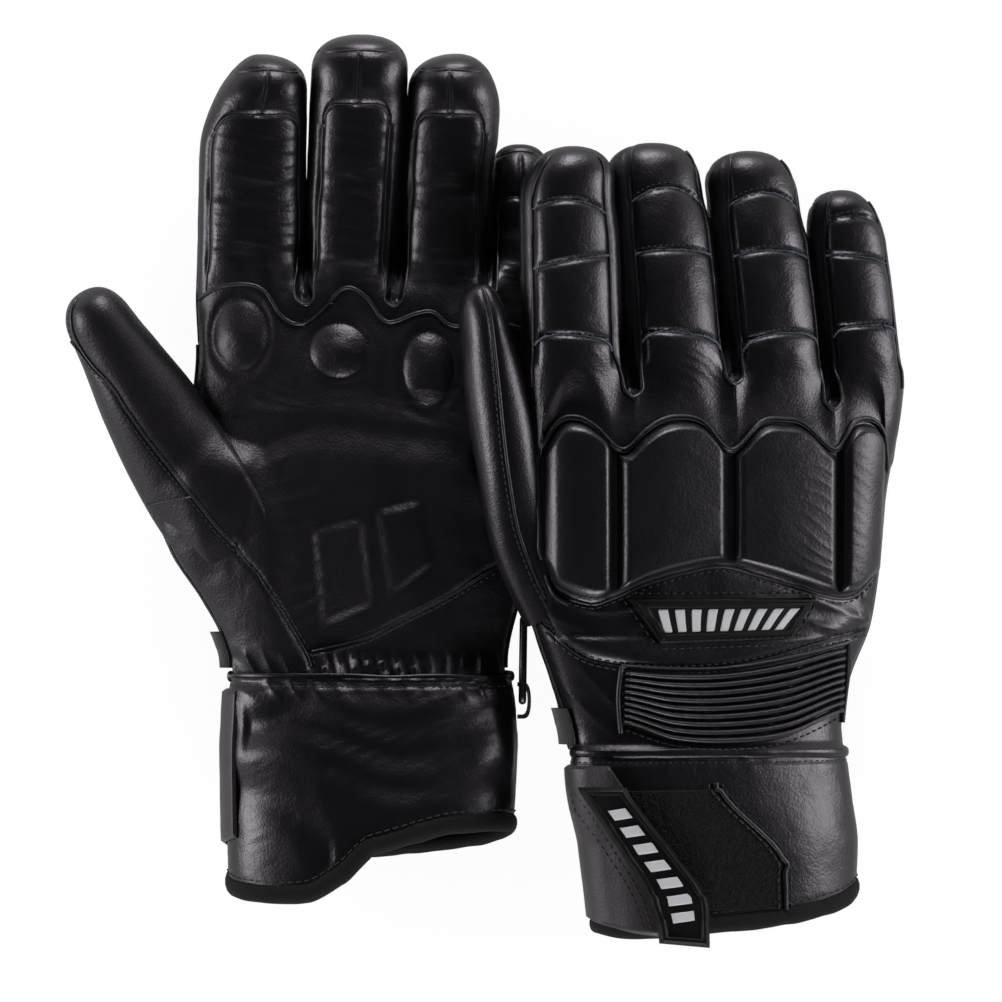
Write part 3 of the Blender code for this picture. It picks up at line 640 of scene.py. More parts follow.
class Workshop:
    """Turns the forms of one glove into finished pieces; the gloves share their materials."""

    materials: dict[str, bpy.types.Material] = {}

    def __init__(self, plan: "GlovePlan") -> None:
        """Keeps the plan, which names the side and puts a form in its place."""
        self.plan = plan

    def material(self, finish: Finish) -> bpy.types.Material:
        """The finish's material, made once."""
        if finish.name not in self.materials:
            self.materials[finish.name] = finish.make()
        return self.materials[finish.name]

    def own(self, name: str) -> str:
        """A name with the glove's side before it."""
        return f"{self.plan.side}_{name}"

    def piece(self, name: str, forms: Form | Sequence[Form], finish: Finish, *nodes: str,
              body: str = "hand", bend: Optional[tuple[str, Points, Points]] = None,
              fill: Optional[float] = None, smooth: float = 50.0) -> None:
        """Makes one closed piece, in place, with its seams welded and its faces outwards.

        Every name is given without the glove's side.

        Args:
            name: the object's name.
            forms: its shape, or the shapes that it joins, in the glove's own frame.
            finish: its material.
            nodes: the CAD nodes that it stands for.
            body: the body that it rides on, when no bend is given.
            bend: (other body, start, end) in the glove's own frame, for leather that crosses a joint;
                with one, the piece is only baked in place and rides on no body.
            fill: not used.
            smooth: edges sharper than this angle in degrees stay sharp.
        """
        form = forms if isinstance(forms, Form) else Form.joined(forms)
        name, verts = self.own(name), self.plan.place(form.verts)
        mesh = bpy.data.meshes.new(name)
        mesh.vertices.add(len(verts))
        mesh.vertices.foreach_set("co", np.ascontiguousarray(verts, np.float32).ravel())
        mesh.loops.add(form.faces.size)
        mesh.loops.foreach_set("vertex_index", form.faces.astype(np.int32).ravel())
        mesh.polygons.add(len(form.faces))
        mesh.polygons.foreach_set("loop_start", np.arange(0, form.faces.size, 4, dtype=np.int32))
        if form.uv is not None:
            layer = mesh.uv_layers.new(name="tape")
            layer.data.foreach_set("uv", form.uv[form.faces.ravel()].astype(np.float32).ravel())
        mesh.update()
        shape = bmesh.new()
        shape.from_mesh(mesh)
        bmesh.ops.remove_doubles(shape, verts=shape.verts, dist=WELD)
        bmesh.ops.dissolve_degenerate(shape, edges=shape.edges, dist=WELD / 4)
        bmesh.ops.recalc_face_normals(shape, faces=shape.faces)
        shape.to_mesh(mesh)
        shape.free()
        mesh.shade_smooth()
        mesh.set_sharp_from_angle(angle=math.radians(smooth))
        mesh.materials.append(self.material(finish))
        made = bpy.data.objects.new(name, mesh)
        bpy.context.scene.collection.objects.link(made)
        if bend is None:
            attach(made, self.own(body))
        else:
            start, end = (tuple(map(float, self.plan.place(spot))) for spot in bend[1:])
            self.own(bend[0])
            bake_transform(made)
            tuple(start)
            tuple(end)
        if nodes:
            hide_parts(*(self.own(one) for one in nodes))
        LOG.info("%s: %d faces", name, len(mesh.polygons))


# ------------------------------------------------------------------ the plan of a glove

@dataclass(frozen=True)
class FingerPlan:
    """One finger stall: its centre line, section, seams and its place on the hand."""

    name: str
    root: tuple[float, float]     # (x, d) where it leaves the hand
    width: float
    height: float
    length: float
    lean: float                   # sideways drift of the tip
    curl: float                   # degrees that the centre line turns towards the palm
    joins: Rows                   # cross seams on the back: length, bow towards the tip, slant
    caps: tuple[float, float]     # lengths of the two cap seams on the palm side
    back_seams: tuple[float, float]   # the long seams, as fractions of the half width on the back
    palm_seams: tuple[float, float]   # and on the palm side
    closed: float                 # length up to which it touches the next finger
    spread: tuple[float, float] = (0.0, 0.0)   # more width on its left and right side
    shoulder: tuple[float, float] = (12.5, 12.5)   # length over which each side rounds off at the tip


@dataclass(frozen=True)
class ThumbPlan:
    """The thumb stall, from its tip down into the hand."""

    path: Rows
    half_widths: Rows
    half_heights: Rows
    split: float                  # length at which the moving tip leaves the base
    seam: Rows                    # where the long seam runs, as a fraction of the half width
    cross: tuple[Rows, ...] = ()  # (length, fraction) of the shorter seams on the palm side
    tip: float = 14.0


@dataclass(frozen=True)
class GlovePlan:
    """The measurements of one glove, and the surfaces that every piece lies on."""

    side: str
    facing: int                   # +1 with its back up, -1 with its palm up
    origin: tuple[float, float, float]
    tilt: float                   # radians
    hand: Rows                    # y, centre x, half width, height of the back, depth of the palm
    cuff: Rows
    hem: Rows                     # angle round the cuff in degrees, y of its edge
    fingers: tuple[FingerPlan, ...]
    thumb: ThumbPlan
    crotches: Rows                # (x, y) between neighbouring fingers
    scallop: Rows                 # (x, y) of the piping above the knuckle pads
    guard_low: Rows               # (x, y) of the seam below the pads
    pads: Rows                    # (low x, high x) of the four knuckle pads
    palm_line: Rows               # (x, y) of the piped seam under the fingers on the palm
    yoke: Rows                    # (x, y) of the double seam below the badge
    badge: Rows                   # (x, y) of its four corners, clockwise from the upper left
    ribs_top: Rows
    ribs_low: Rows
    ovals: Rows                   # centre x and y, half width, half length of the palm's oval pads
    heel: tuple[Rows, ...]        # corners of the two heel pads
    palm_seam: Rows               # the seam round the heel of the palm
    thumb_seam: Rows              # (y, x) of the thumb's outer seam where it crosses the palm
    loop_panel: Rows              # (y, right edge) of the pile panel
    folds: tuple[tuple[float, float, Rows], ...]   # height, half width and line of the cuff's folds
    seed: int

    @property
    def wrist(self) -> float:
        """y of the lower edge of the hand's leather."""
        return self.hand[0][0]

    @property
    def crotch(self) -> float:
        """y of the roots of the fingers."""
        return self.hand[-1][0]

    def place(self, points: Points) -> Points:
        """Points of the glove's own frame, in the shared frame in metres."""
        x, y, d = points[..., 0], points[..., 1], self.facing * points[..., 2]
        c, s = math.cos(self.tilt), math.sin(self.tilt)
        return (np.stack([x * c + d * s, y, -x * s + d * c], -1) + self.origin + PAIR_CENTRING) * MM

    def section(self, y: Array, angle: Array, lift: Values = 0.0, cuff: bool = False) -> Points:
        """The plain outside of the hand or the cuff, at an angle round it."""
        rows, power = (self.cuff, CUFF_POWER) if cuff else (self.hand, SECTION_POWER)
        y, angle = np.broadcast_arrays(np.asarray(y, float), np.asarray(angle, float))
        centre, half, back, palm = np.moveaxis(through(rows, y), -1, 0)
        across, up = oval(half, back, palm, power, angle, lift)
        return np.stack([centre + across, y, up], -1)

    def over(self, x: Array, y: Array, face: int, lift: Values = 0.0,
             cuff: bool = False) -> Points:
        """The point above (x, y) on the back (face 1) or the palm (face -1), moved out by lift."""
        rows, power = (self.cuff, CUFF_POWER) if cuff else (self.hand, SECTION_POWER)
        x, y = np.broadcast_arrays(np.asarray(x, float), np.asarray(y, float))
        measures = through(rows, y)
        angle = angle_at((x - measures[..., 0]) / measures[..., 1], power, face)
        return self.section(y, angle, lift, cuff)

    def hem_at(self, angle: Array) -> Array:
        """y of the cuff's edge at an angle in radians."""
        rows = [(a + turn, y) for turn in (-360, 0, 360) for a, y in self.hem]
        return line_at(rows, np.degrees(angle) % 360)


def between(y: Array, low: float, high: float, soft: float) -> Array:
    """1 between low and high, easing to 0 over `soft` outside them."""
    return ease((y - low) / soft + 1) * ease((high - y) / soft + 1)


def near_line(x: Array, y: Array, rows: Rows, width: float) -> Array:
    """A bell of half width `width` across a line y(x), which ends where its rows end."""
    line = line_at(rows, x)
    slope = line_at(rows, x + 0.5) - line_at(rows, x - 0.5)
    inside = between(x, rows[0][0], rows[-1][0], 2.0)
    return bump((y - line) / np.hypot(1, slope) / width) * inside


class Hand:
    """The leather of the hand: its relief, and the pieces and seams that lie on it."""

    WALL = 1.8
    COLUMNS, ROWS = 170, 136
    PAD_RISE = 3.9                # of the middle knuckle pads' faces over the hand's crown
    BARS, RIBS = 9, 9
    PIPE, ROLL, BORDER = (1.6, 1.7), (1.2, 1.0), (1.6, 1.8)   # width and height of sewn seams
    # the palm's forms: x of the mound's edge and of the web at y, and y of the fold at x
    MOUND = ((5, -12), (20, -19), (53, -21), (78, -35), (100, -52))
    WEB = ((51, -40.3), (60, -38.6), (68, -36.4), (77, -33.8), (86, -36))
    FOLD = ((-60, 84), (-43, 83), (-12, 86.5), (24, 81), (58, 70))

    def __init__(self, plan: GlovePlan) -> None:
        """Keeps the plan, and opens the glove's workshop."""
        self.plan, self.shop = plan, Workshop(plan)

    # -- relief

    def relief(self, points: Points, face: int) -> Array:
        """How far the leather stands off its plain section: soft lumps, seam valleys and creases."""
        plan = self.plan
        x, y = points[..., 0], points[..., 1]
        rise = 0.5 * value_noise(points, 24, plan.seed) + 0.12 * lumps(points, 9, plan.seed + 9)
        rise = rise + (self.back_relief if face > 0 else self.palm_relief)(points, x, y)
        centre, half = np.moveaxis(through(plan.hand, y)[..., :2], -1, 0)
        edge = np.clip(1 - np.abs((x - centre) / half), 0, 1)
        return np.maximum(rise, -1.5) * ease(edge / 0.05)

    def back_relief(self, points: Points, x: Array, y: Array) -> Array:
        """The back: a sunk band under the guard, valleys at the seams, and pinched sides."""
        plan = self.plan
        low = line_at(plan.guard_low, x)
        band = between(y, plan.badge[2][1] + 2, low - 1.5, 2.5)
        rise = -0.9 * band * (np.abs(x - 2) < 60)
        pinch = ease((np.abs(x - 2) - 20) / 14)
        rise += 0.9 * (creases(points, (0.35, 1, 0), 7.0, plan.seed) - 0.2) * band * pinch
        rise += 0.4 * value_noise(points, 8, plan.seed + 2) * band
        rise -= 0.9 * near_line(x, y, plan.guard_low, 1.2)
        rise -= 0.8 * near_line(x, y, plan.yoke, 1.1)
        rise += 0.7 * near_line(x, y - 4.0, plan.yoke, 3.0)
        side = ease((-30 - x) / 8) * between(y, 2, 26, 5)
        rise += 0.6 * creases(points, (0.9, 1, 0), 8.0, plan.seed + 3) * side
        rise += 1.5 * ease((4 - y) / 3) * bump((y - 0.5) / 3.5)
        edge = ease((np.abs(x - 2) - 50) / 6) * between(y, 45, 100, 10)
        rise += 0.5 * creases(points, (0.2, 1, 0), 11.0, plan.seed + 4) * edge
        return rise

    def palm_relief(self, points: Points, x: Array, y: Array) -> Array:
        """The palm: the thumb's mound, the hollow, the fold, wrist puckers and seam valleys."""
        plan = self.plan
        past = line_at(self.MOUND, y) - x
        rise = 2.4 * ease(past / 14) * between(y, 8, 70, 16)
        rise += 1.6 * bump((y - 34) / 30) * ease((x + 50) / 20)
        rise += 1.2 * value_noise(points, 22, plan.seed + 20)
        rise += 0.3 * lumps(points, 7, plan.seed + 21) * between(y, 6, 112, 8)
        web_creases = creases(points, (-0.5, 1, 0), 6.0, plan.seed + 8)
        rise += 0.4 * web_creases * bump(past / 8) * between(y, 25, 80, 12)
        rise -= 1.6 * near_line(x, y, self.FOLD, 7.0)
        rise += 1.0 * near_line(x, y + 13, self.FOLD, 7.0)
        fine = creases(points, (0.2, 1, 0), 3.6, plan.seed + 9) - 0.2
        rise += 0.3 * fine * near_line(x, y - 8, self.FOLD, 9.0)
        for cx, cy, half_w, half_l in plan.ovals:
            rim = np.hypot((x - cx) / half_w, (y - cy) / half_l)
            rise += 0.6 * ease((1.7 - rim) / 0.6) - 0.8 * bump((rim - 1.08) / 0.18)
        rise -= 0.7 * bump((x - line_at(self.WEB, y)) / 3.0) * between(y, 51, 82, 8)
        rise -= 0.8 * near_line(x, y, plan.palm_seam, 1.1)
        first, last = plan.thumb_seam[0][0], plan.thumb_seam[-1][0]
        rise -= 0.8 * bump((x - line_at(plan.thumb_seam, y)) / 1.1) * between(y, first, last, 3)
        gather = between(y, -1, 5, 5)
        pucker = creases(points, (1, 0.3, 0), 5.2, plan.seed + 6)
        rise += (2.3 * (pucker - 0.3) + 0.5 * value_noise(points, 5, plan.seed + 5)) * gather
        rise += 0.3 * lumps(points, 12, plan.seed + 7) * between(y, 10, 40, 8)
        return rise

    def on(self, x: Array, y: Array, face: int, rise: Values = 0.0) -> Points:
        """The point of the finished leather above (x, y), with `rise` more."""
        plain = self.plan.over(x, y, face)
        return self.plan.over(x, y, face, self.relief(plain, face) + rise)

    def route(self, rows: Rows, face: int, rise: float = 0.0,
              shift: float = 0.0) -> tuple[Points, Points]:
        """A smooth line laid on the leather, and the leather's normals there.

        Args:
            rows: (x, y) points of the line.
            face: 1 on the back, -1 on the palm.
            rise: how far the line stands off the leather.
            shift: how far the line is moved along y.
        """
        line = polyline([(x, y + shift) for x, y in rows], 0.9)
        x, y = line[:, 0], line[:, 1]
        spots = self.on(x, y, face, rise)
        step = 0.6
        ahead = self.plan.over(x + step, y, face) - self.plan.over(x - step, y, face)
        up = self.plan.over(x, y + step, face) - self.plan.over(x, y - step, face)
        return spots, unit(np.cross(ahead, up)) * face

    # -- pieces

    def leather(self, face: int) -> None:
        """One shell: angle round the section by y, from the wrist to just past the finger bases."""
        plan = self.plan
        back = face > 0
        start = 0.0 if back else math.pi
        angle = np.linspace(start, start + math.pi, self.COLUMNS + 1)
        line = plan.scallop if back else plan.palm_line
        x = plan.section(plan.crotch - 12, angle)[:, 0]
        top = line_at(line, x) + 2.5
        v = np.linspace(0, 1, self.ROWS + 1)[:, None]
        y = plan.wrist + (top[None] - plan.wrist) * v
        plain = plan.section(y, angle)
        outer = plan.section(y, angle, self.relief(plain, face))
        inner = plan.section(y, angle, -self.WALL)
        name, finish = ("back", GOAT) if back else ("palm", PALM)
        self.shop.piece(f"{name}_leather", slab(outer, inner), finish, f"{name}_shell")

    def side_seams(self) -> None:
        """The rolled seams that close the back to the palm down each side of the hand."""
        plan = self.plan
        forms = []
        for angle in (0.0, math.pi):
            y = np.linspace(plan.wrist + 2, plan.crotch - 14, 120)
            spots = plan.section(y, angle, 0.25)
            wander = 0.8 * value_noise(spots, 14, plan.seed)[:, None] * UP
            forms.append(sweep(spots + wander, OUT * math.cos(angle), 1.7, 1.5))
        self.shop.piece("side_seams", forms, PIPING)

    def knuckle_guard(self) -> None:
        """Four foam pads under tight leather, with the piping above and the seam below them.

        Each pad is a plate over u across and v along: its lower edge follows the guard's lower
        seam, its upper edge the scallop, and its height is a quarter round at each side. The two
        middle pads lie flatter than the hand's back, and the outer two follow it.
        """
        plan = self.plan
        level = through(plan.hand, plan.crotch - 33)[2] + self.PAD_RISE
        for name, (low_x, high_x) in zip(FINGERS, plan.pads):
            outer_pair = name in ("index", "little")
            width = high_x - low_x
            u, v = unit_square(max(40, int(width / 0.5)), 110)
            x = low_x + width * u
            low = line_at(plan.guard_low, x) + 1.6
            high = line_at(plan.scallop, x) - 1.7
            y = low + (high - low) * v
            rise = bevelled(u, v, width, 52, 3.4)
            base, follow = plan.over(x, y, 1), plan.over(x, y, 1, 4.2)[..., 2]
            if outer_pair:
                face_d = np.minimum(follow + 0.3, level - 0.9)
            else:
                face_d = 0.45 * np.minimum(follow, level) + 0.55 * level
            crown = 0.9 * (1 - (2 * u - 1) ** 2) * (1 - (2 * v - 1) ** 4)
            top = np.stack([x, y, face_d + crown], -1)
            wrinkled = {"ring": ease((u - 0.45) * 3), "little": 1.0}.get(name, 0.1)
            wrinkle = 0.12 * wrinkled * creases(top, (0.6, 1, 0), 3.6, plan.seed + ord(name[0]))
            wrinkle += 0.12 * lumps(top, 9, plan.seed)
            outer = base.copy()
            outer[..., :2] += (top[..., :2] - base[..., :2]) * rise[..., None]
            outer[..., 2] = (base[..., 2] - 0.9) * (1 - rise) + (top[..., 2] + wrinkle) * rise
            self.shop.piece(f"{name}_knuckle_cushion", slab(outer, plan.over(x, y, 1, -1.4)), GUARD,
                            f"{name}_knuckle_pad", fill=0.9)
        first, (end_y, side_y, low_y) = plan.pads[0][0], (row[1] for row in plan.guard_low[:3])
        line = [(first + 8, low_y - 0.2), (first + 3, side_y - 0.4), (first - 0.2, end_y),
                (first - 0.8, end_y + 14), *plan.scallop]
        self.shop.piece("guard_piping", [
            sweep(*self.route(line, 1, 0.75), *self.PIPE),
            sweep(*self.route(plan.guard_low, 1, 0.15), *self.ROLL)], PIPING)
        edge = sweep(*self.route(plan.scallop, 1, 1.0, -0.9), 0.55, 0.6, 6)
        self.shop.piece("guard_edge", edge, EDGE)
        thread = stitches(*self.route(plan.guard_low, 1, 0.1, -1.5), Stitch.SEAM)
        self.shop.piece("guard_thread", thread, THREAD)

    def badge(self) -> None:
        """The moulded plate: a stitched flange, a raised frame and a sunk field with plain bars.

        u and v run over the trapezium between its corners; height steps with the distance to
        the nearest edge.
        """
        plan = self.plan
        (ax, ay), (bx, by), (cx, cy), (dx, dy) = plan.badge

        def spot(u: Array, v: Array) -> tuple[Array, Array]:
            """(x, y) on the plate."""
            x = (dx + (cx - dx) * u) * (1 - v) + (ax + (bx - ax) * u) * v
            y = (dy + (cy - dy) * u) * (1 - v) + (ay + (by - ay) * u) * v
            return x, y

        u, v = unit_square(130, 44)
        x, y = spot(u, v)
        width, height = cx - dx + (bx - ax - cx + dx) * v, ay - dy
        inset = np.minimum(np.minimum(u, 1 - u) * width * 0.8, np.minimum(v, 1 - v) * height)
        rise = 0.9 * ease(inset / 0.5) + 1.1 * ease((inset - 1.3) / 0.45)
        rise -= 0.55 * ease((inset - 2.7) / 0.45)
        plate = slab(plan.over(x, y, 1, rise + 0.25), plan.over(x, y, 1, -0.6))
        self.shop.piece("badge", plate, RUBBER, "badge_plate", smooth=35)
        bars = []
        for k in range(self.BARS):
            a, b = unit_square(8, 12)
            middle = 0.12 + 0.76 * k / (self.BARS - 1)
            x, y = spot(middle + 0.06 * (a - 0.5) + 0.045 * (b - 0.5), 0.235 + 0.53 * b)
            flat = bevelled(a, b, 3.4, 5.8, 0.35)
            bars.append(slab(plan.over(x, y, 1, 1.6 + 0.32 * flat), plan.over(x, y, 1, 1.2)))
        self.shop.piece("badge_bars", bars, INK, smooth=35)
        threads = []
        centre = np.array([(ax + bx + cx + dx) / 4, (ay + by + cy + dy) / 4])
        for run in zip(plan.badge, [*plan.badge[1:], plan.badge[0]]):
            run = np.array(run, float)
            away = unit(run.mean(0) - centre)
            threads.append(stitches(*self.route(run + away * 1.7, 1, 0.1), Stitch.FLANGE))
            threads.append(stitches(*self.route(run - away * 0.75, 1, 1.25), Stitch.HEEL))
        self.shop.piece("badge_thread", threads, THREAD)

    def rib_panel(self) -> None:
        """The stretch panel: nine sewn ribs that sag in the middle, between two rolled borders.

        Height along v is |sin(9 pi v)| to a power of 0.7, so the ribs are round and the sewn
        valleys between them sharp.
        """
        plan = self.plan
        left, right = plan.ribs_top[0][0], plan.ribs_top[-1][0]
        u, v = unit_square(120, 118)
        x = left + (right - left) * u
        low, high = line_at(plan.ribs_low, x), line_at(plan.ribs_top, x)
        y = low + (high - low) * v
        wave = np.abs(np.sin(self.RIBS * np.pi * (v + 0.005 * np.sin(9 * u)))) ** 0.7
        rise = (0.7 + 2.1 * wave) * ease(np.minimum(u, 1 - u) * 30) * ease(np.minimum(v, 1 - v) * 40)
        plain = plan.over(x, y, 1)
        pinch = 0.3 * creases(plain, (1, 0.1, 0), 3.4, plan.seed + 12) * (1 - wave)
        outer = plan.over(x, y, 1, rise + pinch + 0.1 * lumps(plain, 7, plan.seed))
        panel = slab(outer, plan.over(x, y, 1, -1.0))
        self.shop.piece("rib_panel", panel, GUARD, "wrist_ribs", fill=0.8)
        forms = []
        for x, sign in ((left, -1), (right, 1)):
            low_y, high_y = float(line_at(plan.ribs_low, x)), float(line_at(plan.ribs_top, x))
            rows = [(x - sign * 0.2, low_y - 3), (x + sign * 0.8, (low_y + high_y) / 2),
                    (x, high_y + 1)]
            forms.append(sweep(*self.route(rows, 1, 0.6), *self.BORDER, 10))
        forms.append(sweep(*self.route(plan.ribs_top, 1, 0.5, 1.3), *self.BORDER))
        forms.append(sweep(*self.route(plan.yoke, 1, 0.1, -0.3), 1.1, 0.9, 6))
        self.shop.piece("rib_borders", forms, PIPING)
        lines = ((plan.ribs_low, 0.35, -1.6), (plan.yoke, 0.1, 0.9), (plan.yoke, 0.1, -1.5))
        self.shop.piece("yoke_thread", [stitches(*self.route(rows, 1, rise, shift), Stitch.SEAM)
                                        for rows, rise, shift in lines], THREAD)

    def palm_padding(self) -> None:
        """Three oval pads under the fingers, two slanted pads on the heel, and the palm's seams.

        An oval is the unit square drawn out to a disc, with a dome on it.
        """
        plan = self.plan
        u, v = unit_square(64, 64)
        a, b = 2 * u - 1, 2 * v - 1
        disc_x, disc_y = a * np.sqrt(1 - b * b / 2), b * np.sqrt(1 - a * a / 2)
        dome = (1 - np.clip(np.hypot(disc_x, disc_y), 0, 1) ** 2) ** 1.5
        for name, (cx, cy, half_w, half_l) in zip(FINGERS, plan.ovals):
            x, y = cx + half_w * disc_x, cy + half_l * disc_y
            pad = slab(self.on(x, y, -1, 0.05 + 2.2 * dome), plan.over(x, y, -1, -2.6))
            self.shop.piece(f"{name}_palm_cushion", pad, PALM, f"{name}_palm_pad", fill=0.8)
        u, v = unit_square(44, 60)
        for number, corners in enumerate(plan.heel, 1):
            spots = np.array(corners, float)
            low = spots[3] * (1 - u[..., None]) + spots[2] * u[..., None]
            high = spots[0] * (1 - u[..., None]) + spots[1] * u[..., None]
            x, y = np.moveaxis(low * (1 - v[..., None]) + high * v[..., None], -1, 0)
            width, length = np.linalg.norm(spots[1] - spots[0]), np.linalg.norm(spots[0] - spots[3])
            rise = ease(np.minimum(u, 1 - u) * width / 4) * ease(np.minimum(v, 1 - v) * length / 4)
            crown = 0.3 * (1 - (2 * u - 1) ** 2) * (1 - (2 * v - 1) ** 2)
            pad = slab(self.on(x, y, -1, 0.1 + 0.9 * rise + crown), plan.over(x, y, -1, -3.2))
            self.shop.piece(f"heel_cushion_{number}", pad, PALM, f"heel_pad_{number}", fill=0.8)
        y = np.linspace(plan.thumb_seam[0][0], plan.thumb_seam[-1][0], 90)
        x = line_at(plan.thumb_seam, y)
        self.shop.piece("palm_piping", [
            sweep(*self.route(plan.palm_line, -1, 0.4), 1.4, 1.4),
            sweep(*self.route(plan.palm_seam, -1, 0.1), *self.ROLL),
            sweep(self.on(x, y, -1, 0.1), -UP, 1.1, 1.0)], PIPING)
        self.shop.piece("palm_thread", [
            stitches(self.on(x + 1.6, y, -1, 0.03), -UP, Stitch.PALM),
            stitches(*self.route(plan.palm_seam, -1, 0.05, -1.6), Stitch.HEEL)], THREAD)

    def build(self) -> None:
        """Every piece of the hand."""
        self.leather(1)
        self.leather(-1)
        self.side_seams()
        self.knuckle_guard()
        self.badge()
        self.rib_panel()
        self.palm_padding()


class Finger:
    """One finger: a leather tube from the piping to the tip, its rolled seams and its threads.

    A place on it is s, the length from the crotch's level, and an angle round the section or a
    fraction of the half width on one face.
    """

    COLUMNS, TIP = 154, 12.5
    SLOT, SLOT_HALF = 7.0, 3.3    # depth and half width of the trough at a crotch
    BEND = 24.0                   # length over which the leather bends at the root
    SEAT = 0.35                   # how far the stall's leather lies over the hand's
    CORNER = 9.0                  # height of the round corners of the palm side's panel

    def __init__(self, hand: Hand, plan: FingerPlan, number: int) -> None:
        """Keeps the hand that it grows from, its own plan, and its number from the thumb."""
        self.glove, self.plan, self.shop, self.number = hand.plan, plan, hand.shop, number

    def centre(self, s: Array) -> tuple[Points, Array]:
        """Points of the centre line at lengths s, and its slope: a circular arc towards the palm."""
        plan = self.plan
        curve = math.radians(plan.curl) / plan.length
        slope = curve * s
        x = plan.root[0] + plan.lean * s / plan.length
        y = self.glove.crotch + 0.4 + np.sin(slope) / curve
        d = plan.root[1] - (1 - np.cos(slope)) / curve
        return np.stack([x, y, d], -1), slope

    def size(self, s: Array) -> Array:
        """The section's size at s: slightly waisted at the root, closed by a blunt round tip."""
        q = np.clip((s - (self.plan.length - self.TIP)) / self.TIP, 0, 1)
        waist = 0.05 * (1 - np.clip(s / 35, 0, 1)) ** 2
        waist += 0.03 * np.clip(s / self.plan.length, 0, 1) ** 2
        return (1 - q ** 2.5) ** (1 / 2.5) * (1 - waist)

    def own(self, plan: FingerPlan, s: Array, sign: int) -> Array:
        """x of one side of a finger by its own plan."""
        x = plan.root[0] + plan.lean * s / plan.length
        tip = plan.shoulder[sign > 0]
        power = 2.5 - (tip - 12.5) * 0.045
        q = np.clip((s - (plan.length - tip)) / tip, 0, 1)
        size = (1 - q ** power) ** (1 / power) * (1 - 0.03 * np.clip(s / plan.length, 0, 1) ** 2)
        return x + sign * (plan.width / 2 + plan.spread[sign > 0]) * size

    def edges(self, s: Array) -> tuple[Array, Array]:
        """x of the left and right side at s.

        An outer side follows the hand's side, then its own width. An inner side meets the next
        finger half way: from the crotch's line up to where the two part.
        """
        glove, result = self.glove, []
        for k, sign in ((self.number - 1, -1), (self.number, 1)):
            mine = self.own(self.plan, s, sign)
            if 0 <= k < len(glove.crotches):
                x, y = glove.crotches[k]
                other = glove.fingers[self.number + sign]
                facing = self.own(other, np.minimum(s, other.length - self.TIP), -sign)
                shift = ease((s - y + glove.crotch + 2) / 12)
                base = x + ((mine + facing) / 2 - x) * shift + sign * 0.4
                w = ease((s - glove.fingers[k].closed + 14) / 14)
            else:
                measures = through(glove.hand, glove.crotch + s)
                base = measures[..., 0] + sign * (measures[..., 1] + 0.3)
                w = ease((s + 4) / 16)
            result.append(base * (1 - w) + mine * w)
        return result[0], result[1]

    def slots(self, s: Array) -> list[tuple[Array, float]]:
        """x of the finger's edge beside each crotch next to it, and s of that crotch."""
        glove = self.glove
        return [(edge, glove.crotches[k][1] - glove.crotch)
                for k, edge in zip((self.number - 1, self.number), self.edges(s))
                if 0 <= k < len(glove.crotches)]

    def notch(self, x: Array, s: Array) -> Array:
        """How far the surface sinks into the slot above each crotch: a trough with a round end."""
        deep = np.zeros(np.broadcast(x, s).shape)
        for edge, start in self.slots(s):
            away = np.hypot(x - edge, np.minimum(s - start - self.SLOT_HALF, 0))
            trough = ease((self.SLOT_HALF + 0.3 - away) / 1.7) * ease((start + 30 - s) / 18)
            deep = np.maximum(deep, self.SLOT * trough)
        return deep

    def skin(self, s: Array, angle: Array, rise: Values = 0.0) -> Points:
        """The plain outside at (s, angle), moved out by `rise`, in the glove's frame.

        Past the piping the stall's own oval takes over from the hand's section, later beside a
        crotch than in the middle of the finger.
        """
        s, angle = np.broadcast_arrays(np.asarray(s, float), np.asarray(angle, float))
        glove = self.glove
        spine, slope = self.centre(s)
        left, right = self.edges(s)
        half = np.maximum((right - left) / 2, 1e-3)
        height = self.plan.height / 2 * self.size(s) + 1e-3
        across, up = oval(half, height, height, FINGER_POWER, angle, rise)
        x = (left + right) / 2 + across
        y = spine[..., 1] + up * np.sin(slope)
        d = spine[..., 2] + up * np.cos(slope)
        inner_x = (left + right) / 2 + half * signed_power(np.cos(angle), 2 / SECTION_POWER)
        on_back = np.sin(angle) >= 0
        lift = self.SEAT + np.asarray(rise)
        on_hand = np.where(on_back, *(glove.over(inner_x, y, face, lift)[..., 2] for face in (1, -1)))
        line = np.where(on_back, line_at(glove.scallop, inner_x), line_at(glove.palm_line, inner_x))
        past = s + glove.crotch - line
        w = ease((past + 0.5) / 17)
        for edge, start in self.slots(s):
            w = w * (1 - (1 - ease((s - start) / 16)) * bump((x - edge) / 8))
        x = x * w + inner_x * (1 - w)
        sunk = self.notch(x, s) * (1 - 0.45 * w) + 0.9 * ease((-past - 0.2) / 1.5)
        return np.stack([x, y, on_hand * (1 - w) + d * w - np.where(on_back, sunk, -sunk)], -1)

    def relief(self, s: Array, angle: Array) -> Array:
        """How far the leather stands off its plain section: soft lumps, and each face's own forms."""
        plain = self.skin(s, angle)
        f = signed_power(np.cos(angle), 2 / FINGER_POWER)
        seed = self.glove.seed
        rise = 0.32 * lumps(plain, 15, seed + self.number) + 0.13 * lumps(plain, 5, seed + 3)
        patch = ease(0.5 + 1.2 * value_noise(plain, 14, seed + 34))
        faces = (face(plain, s, f, patch) for face in (self.back_relief, self.palm_relief))
        rise = rise + np.where(np.sin(angle) >= 0, *faces)
        return rise * (1 - 0.75 * (1 - self.size(s) ** 2))

